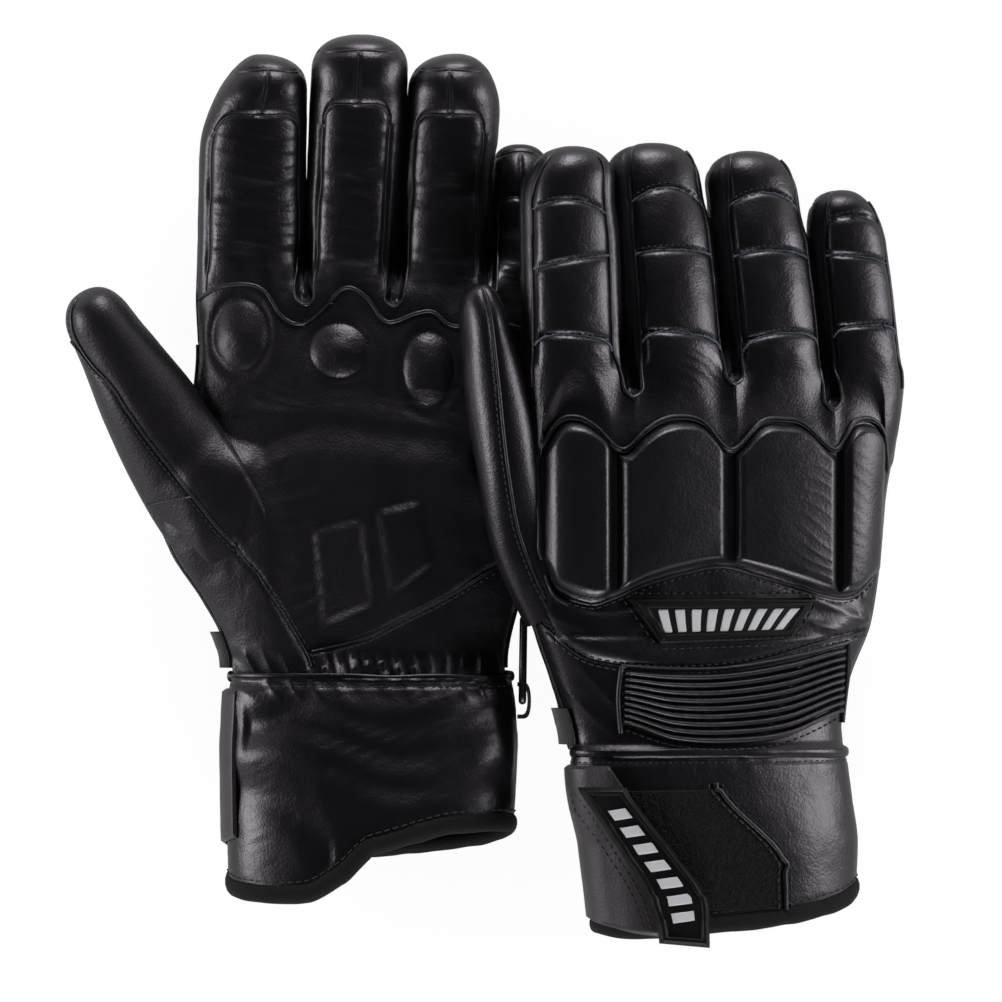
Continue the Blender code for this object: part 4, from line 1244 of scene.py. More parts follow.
    def back_relief(self, plain: Points, s: Array, f: Array, patch: Array) -> Array:
        """The back: puffed panels between the cross seams, and valleys along every seam.

        Args:
            plain: the points of the plain section.
            s: their lengths along the finger.
            f: their places across it, as fractions of the half width.
            patch: 0 to 1, where the fine creases are.

        Returns:
            How far each point rises; a panel rises by sqrt(sin(pi t)) over its length.
        """
        plan = self.plan
        low, high = plan.back_seams
        across = (f - (low + high) / 2) / (high - low) * 2
        lines = [at + bow * (1 - across ** 2) + slant * across for at, bow, slant in plan.joins]
        stops = [2.0 + 0 * f, *lines, plan.length + 6 + 0 * f]
        puff = 0.0
        for number, (start, end) in enumerate(zip(stops[:-1], stops[1:])):
            t = (s - start) / (end - start)
            panel = np.where((t > 0) & (t < 1), np.sin(np.pi * np.clip(t, 0, 1)) ** 0.5, 0)
            puff = puff + panel * (1 if number else ease((s - 2) / 12))
        cuts = sum(0.8 * bump((s - line) / 0.8) for line in lines)
        within = ease((f - low) * 6) * ease((high - f) * 6)
        root = ease((s + 4) / 10)
        rise = (puff * (1 - np.abs(f) ** 3) - cuts) * within * root
        seams = bump((f - low) * plan.width / 2 / 1.3) + bump((f - high) * plan.width / 2 / 1.3)
        small = creases(plain, (0.5, 1, 0), 3.2, self.glove.seed + 40 + self.number)
        return rise - seams * ease((s - 6) / 6) + 0.16 * small * ease((26 - s) / 12) * root * patch

    def palm_relief(self, plain: Points, s: Array, f: Array, patch: Array) -> Array:
        """The palm side: the arched panel, the split cap, flexing creases and the bent joints.

        The arguments are those of back_relief.
        """
        plan, seed = self.plan, self.glove.seed + self.number
        (low, high), (top, cap), half = plan.palm_seams, plan.caps, plan.width / 2
        middle = f - (low + high) / 2
        corner = np.abs(middle / ((high - low) / 2)) ** 6
        arch = top - (1 - np.clip(1 - corner, 0, 1) ** 0.5) * self.CORNER
        edge = np.minimum(np.minimum((f - low) * half, (high - f) * half), arch - s)
        rise = (0.3 * ease((edge + 0.8) / 4) - 0.75 * bump((edge + 0.1) / 0.9)) * ease((s - 6) / 6)
        rise += bump((s - top - 7) / 5) * (1 - f ** 2)
        rise -= 0.7 * bump(middle * half / 0.9) * between(s, top, cap, 1.0)
        rise -= 0.8 * bump((s - cap - 1.5 * (1 - f ** 2)) / 0.9)
        broad = between(s, 8, top - 8, 8) * ease(edge / 3)
        rise += 0.32 * (creases(plain, (0.1, 1, 0), 5.0, seed + 30) - 0.2) * broad
        rise += 0.14 * creases(plain, (0.15, 1, 0), 2.2, seed + 33) * broad * patch
        joints = bump((s - plan.length * 0.45) / 4.5) + 0.7 * bump((s - 15) / 4)
        return rise - joints * ease(edge / 4 + 0.5)

    def on(self, s: Array, angle: Array, rise: Values = 0.0) -> Points:
        """The finished leather at (s, angle), with `rise` more."""
        s, angle = np.broadcast_arrays(np.asarray(s, float), np.asarray(angle, float))
        return self.skin(s, angle, self.relief(s, angle) + rise)

    def run(self, s: Array, fraction: Values, face: int, rise: float = 0.0) -> tuple[Points, Points]:
        """A line of the finger through (s, fraction of the half width), and its normals."""
        s = np.asarray(s, float)
        angle = angle_at(np.broadcast_to(fraction, s.shape), FINGER_POWER, face)
        return self.on(s, angle, rise), unit(self.skin(s, angle, 1.0) - self.skin(s, angle, 0.0))

    def start(self, angle: Array) -> Array:
        """s of the tube's lower edge: on the piping of the back and of the palm, eased between."""
        x = self.skin(np.full_like(angle, -12.0), angle)[..., 0]
        back = line_at(self.glove.scallop, x) - self.glove.crotch - 0.6
        palm = line_at(self.glove.palm_line, x) - self.glove.crotch - 0.6
        w = ease(0.5 + 0.5 * np.sin(angle) / 0.6)
        return np.minimum(palm * (1 - w) + back * w, -1.0)

    def bend(self) -> Optional[tuple[str, Points, Points]]:
        """Where the leather bends from the hand to the finger, or None where the finger is fixed."""
        if self.shop.own(self.plan.name) not in frame["bodies"]:
            return None
        start, end = self.centre(np.array([0.0, self.BEND]))[0]
        return self.plan.name, start, end

    def leather(self) -> None:
        """The tube: even rows up to the tip, then rows that bunch round it."""
        plan = self.plan
        angle = turns(self.COLUMNS)
        start = self.start(angle)
        straight = plan.length - self.TIP
        v = np.linspace(0, 1, 112)[:, None]
        body = start[None] + (straight - start[None]) * v
        turn = np.linspace(0, np.pi / 2, 16)[1:-1, None]
        cap = np.broadcast_to(straight + self.TIP * np.sin(turn), (len(turn), self.COLUMNS))
        s = np.concatenate([body, cap, np.full((1, self.COLUMNS), plan.length - 0.02)])
        self.shop.piece(f"{plan.name}_leather", tube(self.on(s, angle[None])), GOAT,
                        f"{plan.name}_stall", bend=self.bend())

    def outseam(self, sign: int, face: int, top: float) -> tuple[Array, Array]:
        """(s, fraction) of a long seam: a U round the crotch's slot, then along the panel's edge."""
        plan = self.plan
        fraction = (plan.back_seams if face > 0 else plan.palm_seams)[sign > 0]
        k = self.number if sign > 0 else self.number - 1
        inner = 0 <= k < len(self.glove.crotches)
        start = self.glove.crotches[k][1] - self.glove.crotch - 0.5 if inner else 1.0
        radius = self.SLOT_HALF + 0.7
        turn = np.linspace(0, np.pi / 2, 18)[:-1] if inner else np.zeros(1)
        s = np.concatenate([start + radius * (1 - np.cos(turn)),
                            np.linspace(start + radius * inner + 0.4, top, 120)])
        left, right = self.edges(s)
        half, middle = (right - left) / 2, (right + left) / 2
        x = middle + half * fraction
        if inner:
            edge = right if sign > 0 else left
            round_end = radius * np.sin(np.arccos(np.clip(1 - (s - start) / radius, 0, 1)))
            reach = round_end + (np.abs(x - edge) - radius) * ease((s - start - radius) / 14)
            x = edge - sign * reach
        return s, np.clip((x - middle) / half, -0.985, 0.985)

    def arch(self) -> tuple[Array, Array]:
        """(s, fraction) of the front panel's edge: up one side, round two corners, down the other."""
        plan = self.plan
        f = np.cos(np.linspace(np.pi, 0, 90))
        low, high = plan.palm_seams
        top = plan.caps[0] - (1 - np.clip(1 - f ** 6, 0, 1) ** 0.5) * self.CORNER
        along = (low + high) / 2 + (high - low) / 2 * f
        up, up_f = self.outseam(-1, -1, plan.caps[0] - self.CORNER)
        down, down_f = self.outseam(1, -1, plan.caps[0] - self.CORNER)
        return (np.concatenate([up, top[1:-1], down[::-1]]),
                np.concatenate([up_f, along[1:-1], down_f[::-1]]))

    def seams(self) -> None:
        """Rolled seams up both sides of the back and round the palm's panel, and their threads."""
        plan, seed = self.plan, self.glove.seed
        rolled, threads, frayed = [], [], []
        for sign in (-1, 1):
            s, f = self.outseam(sign, 1, plan.length - 4.5)
            f = f - sign * 0.12 * ease((s - plan.length + 20) / 16)
            spots, _ = self.run(s, f, 1, 0.1)
            width = 1.3 + 0.25 * value_noise(spots, 4, seed)
            rolled.append(sweep(spots, UP, width, 1.5))
        spots, _ = self.run(*self.arch(), -1)
        rolled.append(sweep(spots, -UP, 0.85, 0.75))
        across = np.linspace(-0.97, 0.97, 110)
        f = sum(plan.back_seams) / 2 + across * (plan.back_seams[1] - plan.back_seams[0]) / 2
        for number, (at, bow, slant) in enumerate(plan.joins):
            droop = 3.5 * np.abs(across) ** 5 if number == 0 else 0.0
            line = at + bow * (1 - across ** 2) + slant * across - droop
            spots, up = self.run(line, f, 1, 0.25)
            spots[:, 1] += 0.2 * value_noise(spots, 1.4, seed + 8)
            ragged = 0.75 + 0.4 * value_noise(spots, 0.9, seed + 7)
            frayed.append(sweep(spots, up, ragged, 0.6 + 0.3 * value_noise(spots, 0.7, seed), 6))
            threads.append(stitches(*self.run(line + 1.3, f, 1, 0.02), Stitch.FINGER))
        f = np.linspace(-0.93, 0.93, 60)
        rolled.append(sweep(*self.run(plan.caps[1] + 1.5 * (1 - f ** 2), f, -1), 0.85, 0.8, 6))
        middle = np.linspace(plan.caps[0] + 0.3, plan.caps[1] + 1.3, 30)
        rolled.append(sweep(*self.run(middle, sum(plan.palm_seams) / 2, -1), 0.8, 0.7, 6))
        for name, forms, finish in (("seams", rolled, PIPING), ("thread", threads, THREAD),
                                    ("fray", frayed, FRAYED)):
            self.shop.piece(f"{plan.name}_{name}", forms, finish, bend=self.bend())

    def build(self) -> None:
        """Every piece of the finger."""
        self.leather()
        self.seams()


class Thumb:
    """The thumb: one leather tube from the tip into the hand, with its seams.

    A place on it is s, the length from the tip, and an angle round the section.
    """

    COLUMNS = 120
    BEND = 18.0                   # length over which the leather bends at the split

    def __init__(self, hand: Hand) -> None:
        """Measures the centre line from the tip inwards."""
        self.hand, self.glove, self.shop = hand, hand.plan, hand.shop
        self.plan = hand.plan.thumb
        spots = np.array(self.plan.path, float)
        self.rows = np.column_stack([lengths(spots), spots])
        self.length = float(self.rows[-1, 0])

    def frame(self, s: Array) -> tuple[Points, Points, Points]:
        """Centre, side and rise at lengths s from the tip."""
        low, high = np.clip(s - 2, 0, self.length), np.clip(s + 2, 0, self.length)
        axis = unit(through(self.rows, high) - through(self.rows, low))
        side = unit(np.stack([-axis[..., 1], axis[..., 0], 0 * axis[..., 0]], -1))
        side = side * np.where(side[..., :1] < 0, -1, 1)
        rise = np.cross(axis, side)
        rise = rise * np.where(rise[..., 2:] < 0, -1, 1)
        return through(self.rows, s), side, rise

    def skin(self, s: Array, angle: Array, lift: Values = 0.0) -> Points:
        """The outside at (s, angle): an oval round the centre line, closed by a round tip."""
        s, angle = np.broadcast_arrays(np.asarray(s, float), np.asarray(angle, float))
        centre, side, rise = self.frame(s)
        size = np.sqrt(np.clip(1 - np.clip(1 - s / self.plan.tip, 0, 1) ** 2.2, 0, 1))
        half = line_at(self.plan.half_widths, s) * size + 1e-3
        height = line_at(self.plan.half_heights, s) * size + 1e-3
        across, up = oval(half, height, height, FINGER_POWER, angle, lift)
        spots = centre + side * across[..., None] + rise * up[..., None]
        return self.merged(spots, s, angle)

    def merged(self, spots: Points, s: Array, angle: Array) -> Points:
        """The same points, with the palm side drawn over the palm as one soft mound.

        The two depths a and b join as (a + b + sqrt((a - b)^2 + k^2)) / 2, and towards the
        tube's sides and its end the leather dives below the palm. This is for the glove with
        its palm up; on the other one the palm hides the join.
        """
        if self.glove.facing > 0:
            return spots
        measures = through(self.glove.hand, spots[..., 1])
        inside = measures[..., 1] - np.abs(spots[..., 0] - measures[..., 0])
        x = np.clip(spots[..., 0], measures[..., 0] - measures[..., 1] + 0.5, 60)
        palm = -self.hand.on(x, spots[..., 1], -1)[..., 2]
        own = -spots[..., 2]
        joined = (own + palm + np.hypot(own - palm, 6.0)) / 2
        over = ease((np.abs(np.sin(angle)) - 0.1) / 0.5) * ease((self.length - 4 - s) / 26)
        depth = palm + (joined - palm) * over - 0.9 * (1 - over)
        palm_side = np.sin(angle) < 0
        share = ease(inside / 12) * ease((s - 34) / 36) * palm_side
        mixed = own * (1 - share) + depth * share
        above = np.maximum(mixed, palm + 0.4 * over - 1.5 * (1 - over))
        mixed = np.where((inside > 0) & (s > 30) & palm_side, above, mixed)
        return np.stack([spots[..., 0], spots[..., 1], -mixed], -1)

    def relief(self, s: Array, angle: Array) -> Array:
        """Lumps, creases across the joint and valleys at the seams."""
        plain = self.skin(s, angle)
        seed = self.glove.seed
        f = signed_power(np.cos(angle), 2 / FINGER_POWER)
        rise = 0.5 * value_noise(plain, 20, seed + 60) + 0.1 * lumps(plain, 7, seed + 61)
        swollen = (np.sin(angle) < 0) * (self.glove.facing < 0)
        rise += 2.2 * (1 - f * f) * swollen * between(s, 8, 70, 16)
        half = line_at(self.plan.half_widths, s)
        rise -= 0.7 * bump((f - line_at(self.plan.seam, s)) * half / 1.3)
        return rise * ease(s / 6)

    def leather(self) -> None:
        """The tube, with rows that bunch round the tip."""
        turn = np.linspace(0, np.pi / 2, 16)[1:, None]
        cap = self.plan.tip * (1 - np.cos(turn))
        body = np.linspace(self.plan.tip, self.length - 1, 110)[1:, None]
        s = np.concatenate([[[0.03]], cap, body])
        angle = turns(self.COLUMNS)
        s = np.broadcast_to(s, (len(s), self.COLUMNS))
        grid = self.skin(s, angle[None], self.relief(s, angle[None]))
        self.shop.piece("thumb_leather", tube(grid), GOAT if self.glove.facing > 0 else PALM,
                        "thumb_stall", "thumb_base", bend=self.bend())

    def bend(self) -> tuple[str, Points, Points]:
        """The leather bends from the hand to the thumb round the split."""
        start, end = through(self.rows, self.plan.split + np.array([self.BEND, -self.BEND]) / 2)
        return "thumb", start, end

    def seams(self) -> None:
        """The long seam on both faces with a row of stitches beside it, and the cross seams."""
        rolled, threads = [], []
        s = np.linspace(2.0, self.length - 8, 170)
        lines = [(s, line_at(self.plan.seam, s), face, True) for face in (1, -1)]
        lines += [(*polyline(rows, 0.05).T, -1, False) for rows in self.plan.cross]
        for s, f, face, sewn in lines:
            angle = angle_at(f, FINGER_POWER, face)
            up = unit(self.skin(s, angle, 1.0) - self.skin(s, angle))
            spots = self.skin(s, angle, self.relief(s, angle) + 0.15)
            rolled.append(sweep(spots, up, 1.2 if sewn else 0.9, 1.1))
            if sewn:
                beside = angle_at(f - 1.5 / line_at(self.plan.half_widths, s), FINGER_POWER, face)
                spots = self.skin(s, beside, self.relief(s, beside) + 0.03)
                threads.append(stitches(spots[4:], up[4:], Stitch.THUMB))
        self.shop.piece("thumb_seams", rolled, PIPING, bend=self.bend())
        self.shop.piece("thumb_thread", threads, THREAD, bend=self.bend())

    def build(self) -> None:
        """Every piece of the thumb."""
        self.leather()
        self.seams()


class Gauntlet:
    """The short cuff: its leather, the rolled band at the wrist, the bound edge and the lining."""

    WALL, COLUMNS = 2.2, 240
    BAND, TAPE = (3.4, 2.0), (6.6, 4.6)   # width and height of the wrist's band and of the hem's tape
    LINING = (3.4, 4.8)           # depths of the lining's two faces

    def __init__(self, hand: Hand) -> None:
        """Keeps the hand that the cuff is sewn to."""
        self.plan, self.shop = hand.plan, hand.shop

    def skin(self, y: Values, angle: Array, lift: Values = 0.0) -> Points:
        """The plain outside of the cuff at an angle round it."""
        return self.plan.section(y, angle, lift, cuff=True)

    def relief(self, y: Array, angle: Array) -> Array:
        """Folds round the cuff, puckers below the wrist seam, and soft lumps."""
        plan = self.plan
        plain = self.skin(y, angle)
        palm = np.sin(angle) < 0
        rise = 0.7 * value_noise(plain, 19, plan.seed + 70) + 0.2 * lumps(plain, 9, plan.seed + 71)
        for height, width, rows in plan.folds:
            rise += np.where(palm, height * near_line(plain[..., 0], plain[..., 1], rows, width), 0)
        loose = palm * 1.0 if plan.facing < 0 else 0.25
        puckers = creases(plain, (1, 0.3, 0.6), 6.0, plan.seed + 73) - 0.3
        rise += 1.1 * loose * puckers * ease((y + 10) / 8)
        patch = ease(value_noise(plain, 15, plan.seed + 75) + 0.3)
        rise += 0.18 * loose * creases(plain, (-0.5, 1, 0), 3.6, plan.seed + 74) * patch
        rise -= 0.8 * bump((y + 0.5) / 1.6) + 0.3 * bump((y + 2.9) / 0.8)
        return rise * ease(-y / 1.5) * ease((y - plan.hem_at(angle)) / 4)

    def leather(self) -> None:
        """The wall, from the wrist seam down to the hem."""
        plan = self.plan
        angle = turns(self.COLUMNS)
        hem = plan.hem_at(angle)
        v = np.linspace(0, 1, 100)[:, None]
        y = -0.2 + (hem[None] + 0.6) * v
        outer = self.skin(y, angle[None], self.relief(y, angle[None]))
        inner = self.skin(y[::6], angle[None], -self.WALL)
        self.shop.piece("cuff_leather", sleeve(outer, inner), GOAT, "cuff")

    def around(self, y: Values, angle: Array, lift: Values) -> Points:
        """A ring of points on the cuff's finished leather."""
        y = np.broadcast_to(y, angle.shape)
        return self.skin(y, angle, self.relief(y, angle) + lift)

    def outward(self, y: Values, angle: Array) -> Points:
        """Directions straight out of the cuff."""
        return unit(self.skin(y, angle, 1.0) - self.skin(y, angle))

    def band(self) -> None:
        """The folded edge of the hand's leather over the wrist seam, and the rows of stitches.

        On the palm side the fold is thinner and lies deeper.
        """
        plan = self.plan
        angle = turns(260, 0.0)
        out = self.outward(-0.5, angle)
        palm = np.sin(angle) < 0
        main = self.skin(0.0, angle, -0.3 - 0.6 * palm)
        main[:, 1] += 0.7 * value_noise(main, 16, plan.seed) + 0.3
        waves = (1 + 0.2 * value_noise(main, 5, plan.seed + 80)) * np.where(palm, 0.55, 1)
        width, height = (side * waves for side in self.BAND)
        self.shop.piece("wrist_band", sweep(main, out, width, height, 14, closed=True), GOAT)
        self.shop.piece("cuff_thread", [
            stitches(self.around(-2.9, angle, 0.0), out, Stitch.WRIST),
            stitches(self.around(plan.hem_at(angle) + 2.2, angle, 0.25), out, Stitch.HEM)], THREAD)

    def binding(self) -> None:
        """A woven tape folded round the edge: an oval carried round the hem, a little uneven."""
        plan = self.plan
        step = 2 * np.pi / 280
        angle = step * np.arange(280)
        hem = plan.hem_at(angle)
        ahead = self.skin(plan.hem_at(angle + step), angle + step, -1.1)
        behind = self.skin(plan.hem_at(angle - step), angle - step, -1.1)
        slope = np.abs(ahead[:, 1] - behind[:, 1]) / np.linalg.norm((ahead - behind)[:, ::2], axis=1)
        spots = self.skin(hem, angle, -1.1)
        spots[:, 1] = hem - 1.7 * np.hypot(1, slope)
        uneven = 1 + 0.08 * value_noise(spots, 5, plan.seed + 90)
        width, height = (side * uneven for side in self.TAPE)
        tape = sweep(spots, self.outward(hem, angle), width, height, 14, closed=True)
        self.shop.piece("hem_tape", tape, BINDING, "hem_binding")

    def lining(self) -> None:
        """The knitted lining: a thin sleeve inside, seen only through the opening."""
        plan = self.plan
        angle = turns(72)
        y = np.linspace(-41, plan.crotch - 6, 40)[:, None]
        w = ease((-9 - y) / 14)
        wrinkle = 0.6 * lumps(plan.section(y, angle[None]), 11, plan.seed + 95)
        layers = []
        for depth in self.LINING:
            lift = 0.6 * wrinkle - depth
            hand = plan.section(np.maximum(y, plan.wrist), angle[None], lift)
            cuff = self.skin(np.minimum(y, 0), angle[None], lift)
            grid = hand * (1 - w[..., None]) + cuff * w[..., None]
            grid[..., 1] = y
            layers.append(grid)
        self.shop.piece("lining", sleeve(*layers), KNIT, "liner")

    def build(self) -> None:
        """Every piece of the cuff."""
        self.leather()
        self.band()
        self.binding()
        self.lining()


class Closure:
    """The hook and loop closure: the pile panel, the strap, and the tab on its slanted end."""

    TOP, LENGTH = -4.0, 55.0      # the strap's upper edge, and its length along the arm
    ROOT, HINGE = math.radians(205), math.radians(160)   # angles of its sewn end and of its bend
    RISE = 1.6                    # the strap's thickness
    END, SLANT = -38.5, 27.0      # x of its end at the upper edge, and the lower edge's lead on it
    TAB_LOW, TAB_LENGTH, TAB_BASE = -62.5, 51.5, 3.7
    BARS = 7
    # y, left and right edge of the tab, from the cuff's middle
    TAB = ((-64, -27.6, -12), (-56, -28.6, -12), (-50, -30.4, -12.1), (-46, -31.9, -14),
           (-30, -39.6, -24.4), (-20, -43.4, -30.2), (-11, -46.2, -34.2))

    def __init__(self, cuff: Gauntlet) -> None:
        """Keeps the cuff that it closes."""
        self.cuff, self.plan, self.shop = cuff, cuff.plan, cuff.shop

    def angle(self, x: Values, y: Values) -> Array:
        """The angle round the cuff of a place on its back."""
        measures = through(self.plan.cuff, y)
        return angle_at((x - measures[..., 0]) / measures[..., 1], CUFF_POWER)

    def end(self, v: Array, y: Array) -> Array:
        """x of the strap's slanted end, v of its length from the lower edge."""
        return through(self.plan.cuff, y)[..., 0] + self.END + self.SLANT * (1 - v)

    def over(self, x: Array, y: Array, lift: Values) -> Points:
        """A point above (x, y) on the plain cuff."""
        return self.plan.over(x, y, 1, lift, cuff=True)

    def pile(self) -> None:
        """The loop panel: low tufts in the relief, and a raised welt along its slanted edge."""
        plan = self.plan
        u, v = unit_square(110, 100)
        y = -52 + 40 * v
        right = line_at(plan.loop_panel, y)
        left = self.end(1 - (self.TOP - y) / self.LENGTH, y) - 7
        x = left + (right - left) * u
        edge = plan.hem_at(np.array(math.pi / 2 + 0.2)) + 1.5
        y = np.maximum(y, edge)
        plain = self.over(x, y, 0)
        tufts = 0.35 * value_noise(plain, 1.15, plan.seed) + 0.2 * lumps(plain, 6, plan.seed + 1)
        rise = 0.1 + (1.0 + tufts * 0.7) * bevelled(u, v, 46, 40, 0.7) * ease(u * 4)
        panel = slab(self.over(x, y, rise), self.over(x, y, -0.9))
        self.shop.piece("pile_panel", panel, PILE, "loop_panel")
        y = polyline([(right + 2.0, y) for y, right in reversed(plan.loop_panel)])[:, 1]
        x = line_at(plan.loop_panel, y) + 2.0
        up = unit(self.over(x, y, 2.0) - self.over(x, y, 1.0))
        self.shop.piece("panel_welt", sweep(self.over(x - 0.6, y, 0.9), up, 1.7, 1.5, 10), PIPING)
        self.shop.piece("panel_thread", [
            stitches(self.over(x + 1.6, y, 0.25), up, Stitch.PANEL),
            stitches(self.over(x - 3.4, y, 1.55), up, Stitch.PANEL)], THREAD)

    def lift(self, angle: Array) -> Array:
        """How far the strap's underside is off the cuff: sewn at its root, clear past the hinge."""
        clear = ease((self.HINGE - angle - 0.1) / 0.45)
        return 0.3 + 0.35 * ease((self.ROOT - angle) / 0.5) + 1.9 * clear

    def strap_leather(self) -> None:
        """One strip over u from root to end and v from its lower to its upper edge."""
        skin = self.cuff.skin
        u, v = unit_square(110, 52)
        y = self.TOP - self.LENGTH * (1 - v) + (5.5 - 9.0 * u) * (1 - v) ** 2
        angle = self.ROOT + (self.angle(self.end(v, y), y) - self.ROOT) * u
        lift = self.lift(angle)
        edge = bevelled(u, v, 60, self.LENGTH, 0.9)
        soft = 0.22 * lumps(skin(y, angle, lift), 14, self.plan.seed + 100)
        outer = skin(y, angle, lift + 0.3 + (self.RISE - 0.3 + soft) * edge)
        inner = skin(y, angle, lift + 0.15 * (1 - edge))
        start, end = skin(-31.0, self.HINGE + np.array([0.16, -0.16]), 4.4)
        self.shop.piece("strap_leather", slab(outer, inner), STRAP, "strap_root", "strap_flap",
                        bend=("strap", start, end))
        threads = []
        y = np.linspace(-58.0, -12.5, 90)
        for back in (1.8, 4.2):
            x = through(self.plan.cuff, y)[..., 0] + through(self.TAB, y)[..., 0] - back
            turn = self.angle(x, y)
            up = unit(skin(y, turn, 5.0) - skin(y, turn, 3.0))
            spots = skin(y, turn, self.lift(turn) + self.RISE + 0.06)
            threads.append(stitches(spots, up, Stitch.STRAP))
        self.shop.piece("strap_thread", threads, THREAD, body="strap")

    def tab_spot(self, u: Array, v: Array) -> tuple[Array, Array, Array]:
        """(x, y) on the tab at u across and v along, and the tab's width there."""
        y = self.TAB_LOW + self.TAB_LENGTH * v
        left, right = np.moveaxis(through(self.TAB, y), -1, 0)
        return through(self.plan.cuff, y)[..., 0] + left + (right - left) * u, y, right - left

    def tab(self) -> None:
        """The moulded tab on the strap's end: a bevelled border, a sunk field and plain bars."""
        u, v = unit_square(44, 120)
        sag = 1.6 * u * (1 - v) ** 4 / self.TAB_LENGTH
        x, y, width = self.tab_spot(u, v - sag)
        inset = np.minimum(np.minimum(u, 1 - u) * width * 0.84, np.minimum(v, 1 - v) * 47)
        rise = 1.5 * ease(inset / 0.9) + 0.3 * ease((inset - 0.8) / 0.4)
        rise -= 0.75 * ease((inset - 1.9) / 0.5)
        rubber = slab(self.over(x, y, self.TAB_BASE + 0.6 + rise), self.over(x, y, self.TAB_BASE))
        self.shop.piece("tab_rubber", rubber, RUBBER, "strap_tab", body="strap", smooth=35)
        a, b = unit_square(6, 8)
        flat = bevelled(a, b, 4, 2.8, 0.5)
        bars = []
        for k in range(self.BARS):
            middle = 0.17 + 0.66 * k / (self.BARS - 1)
            x, y, _ = self.tab_spot(0.3 + 0.4 * a, middle + 0.062 * (b - 0.5) + 0.018 * (a - 0.5))
            low = self.TAB_BASE + 1.5
            bars.append(slab(self.over(x, y, low + 0.4 + 0.35 * flat), self.over(x, y, low)))
        self.shop.piece("tab_bars", bars, INK, body="strap", smooth=35)

    def hooks(self) -> None:
        """The hook patch under the strap's end."""
        u, v = unit_square(20, 40)
        inset = 0.08 + 0.48 * v
        y = self.TOP - self.LENGTH * (1 - inset)
        x = self.end(inset, y) - 2 - 12 * (1 - u)
        tufts = 0.12 * value_noise(self.over(x, y, 0), 1.2, 5)
        lift = self.lift(self.angle(x, y))
        patch = slab(self.over(x, y, lift + 0.3), self.over(x, y, lift - 0.4 + tufts))
        self.shop.piece("hooks", patch, HOOKS, "hook_patch", body="strap")

    def build(self) -> None:
        """Every piece of the closure."""
        self.pile()
        self.strap_leather()
        self.tab()
        self.hooks()


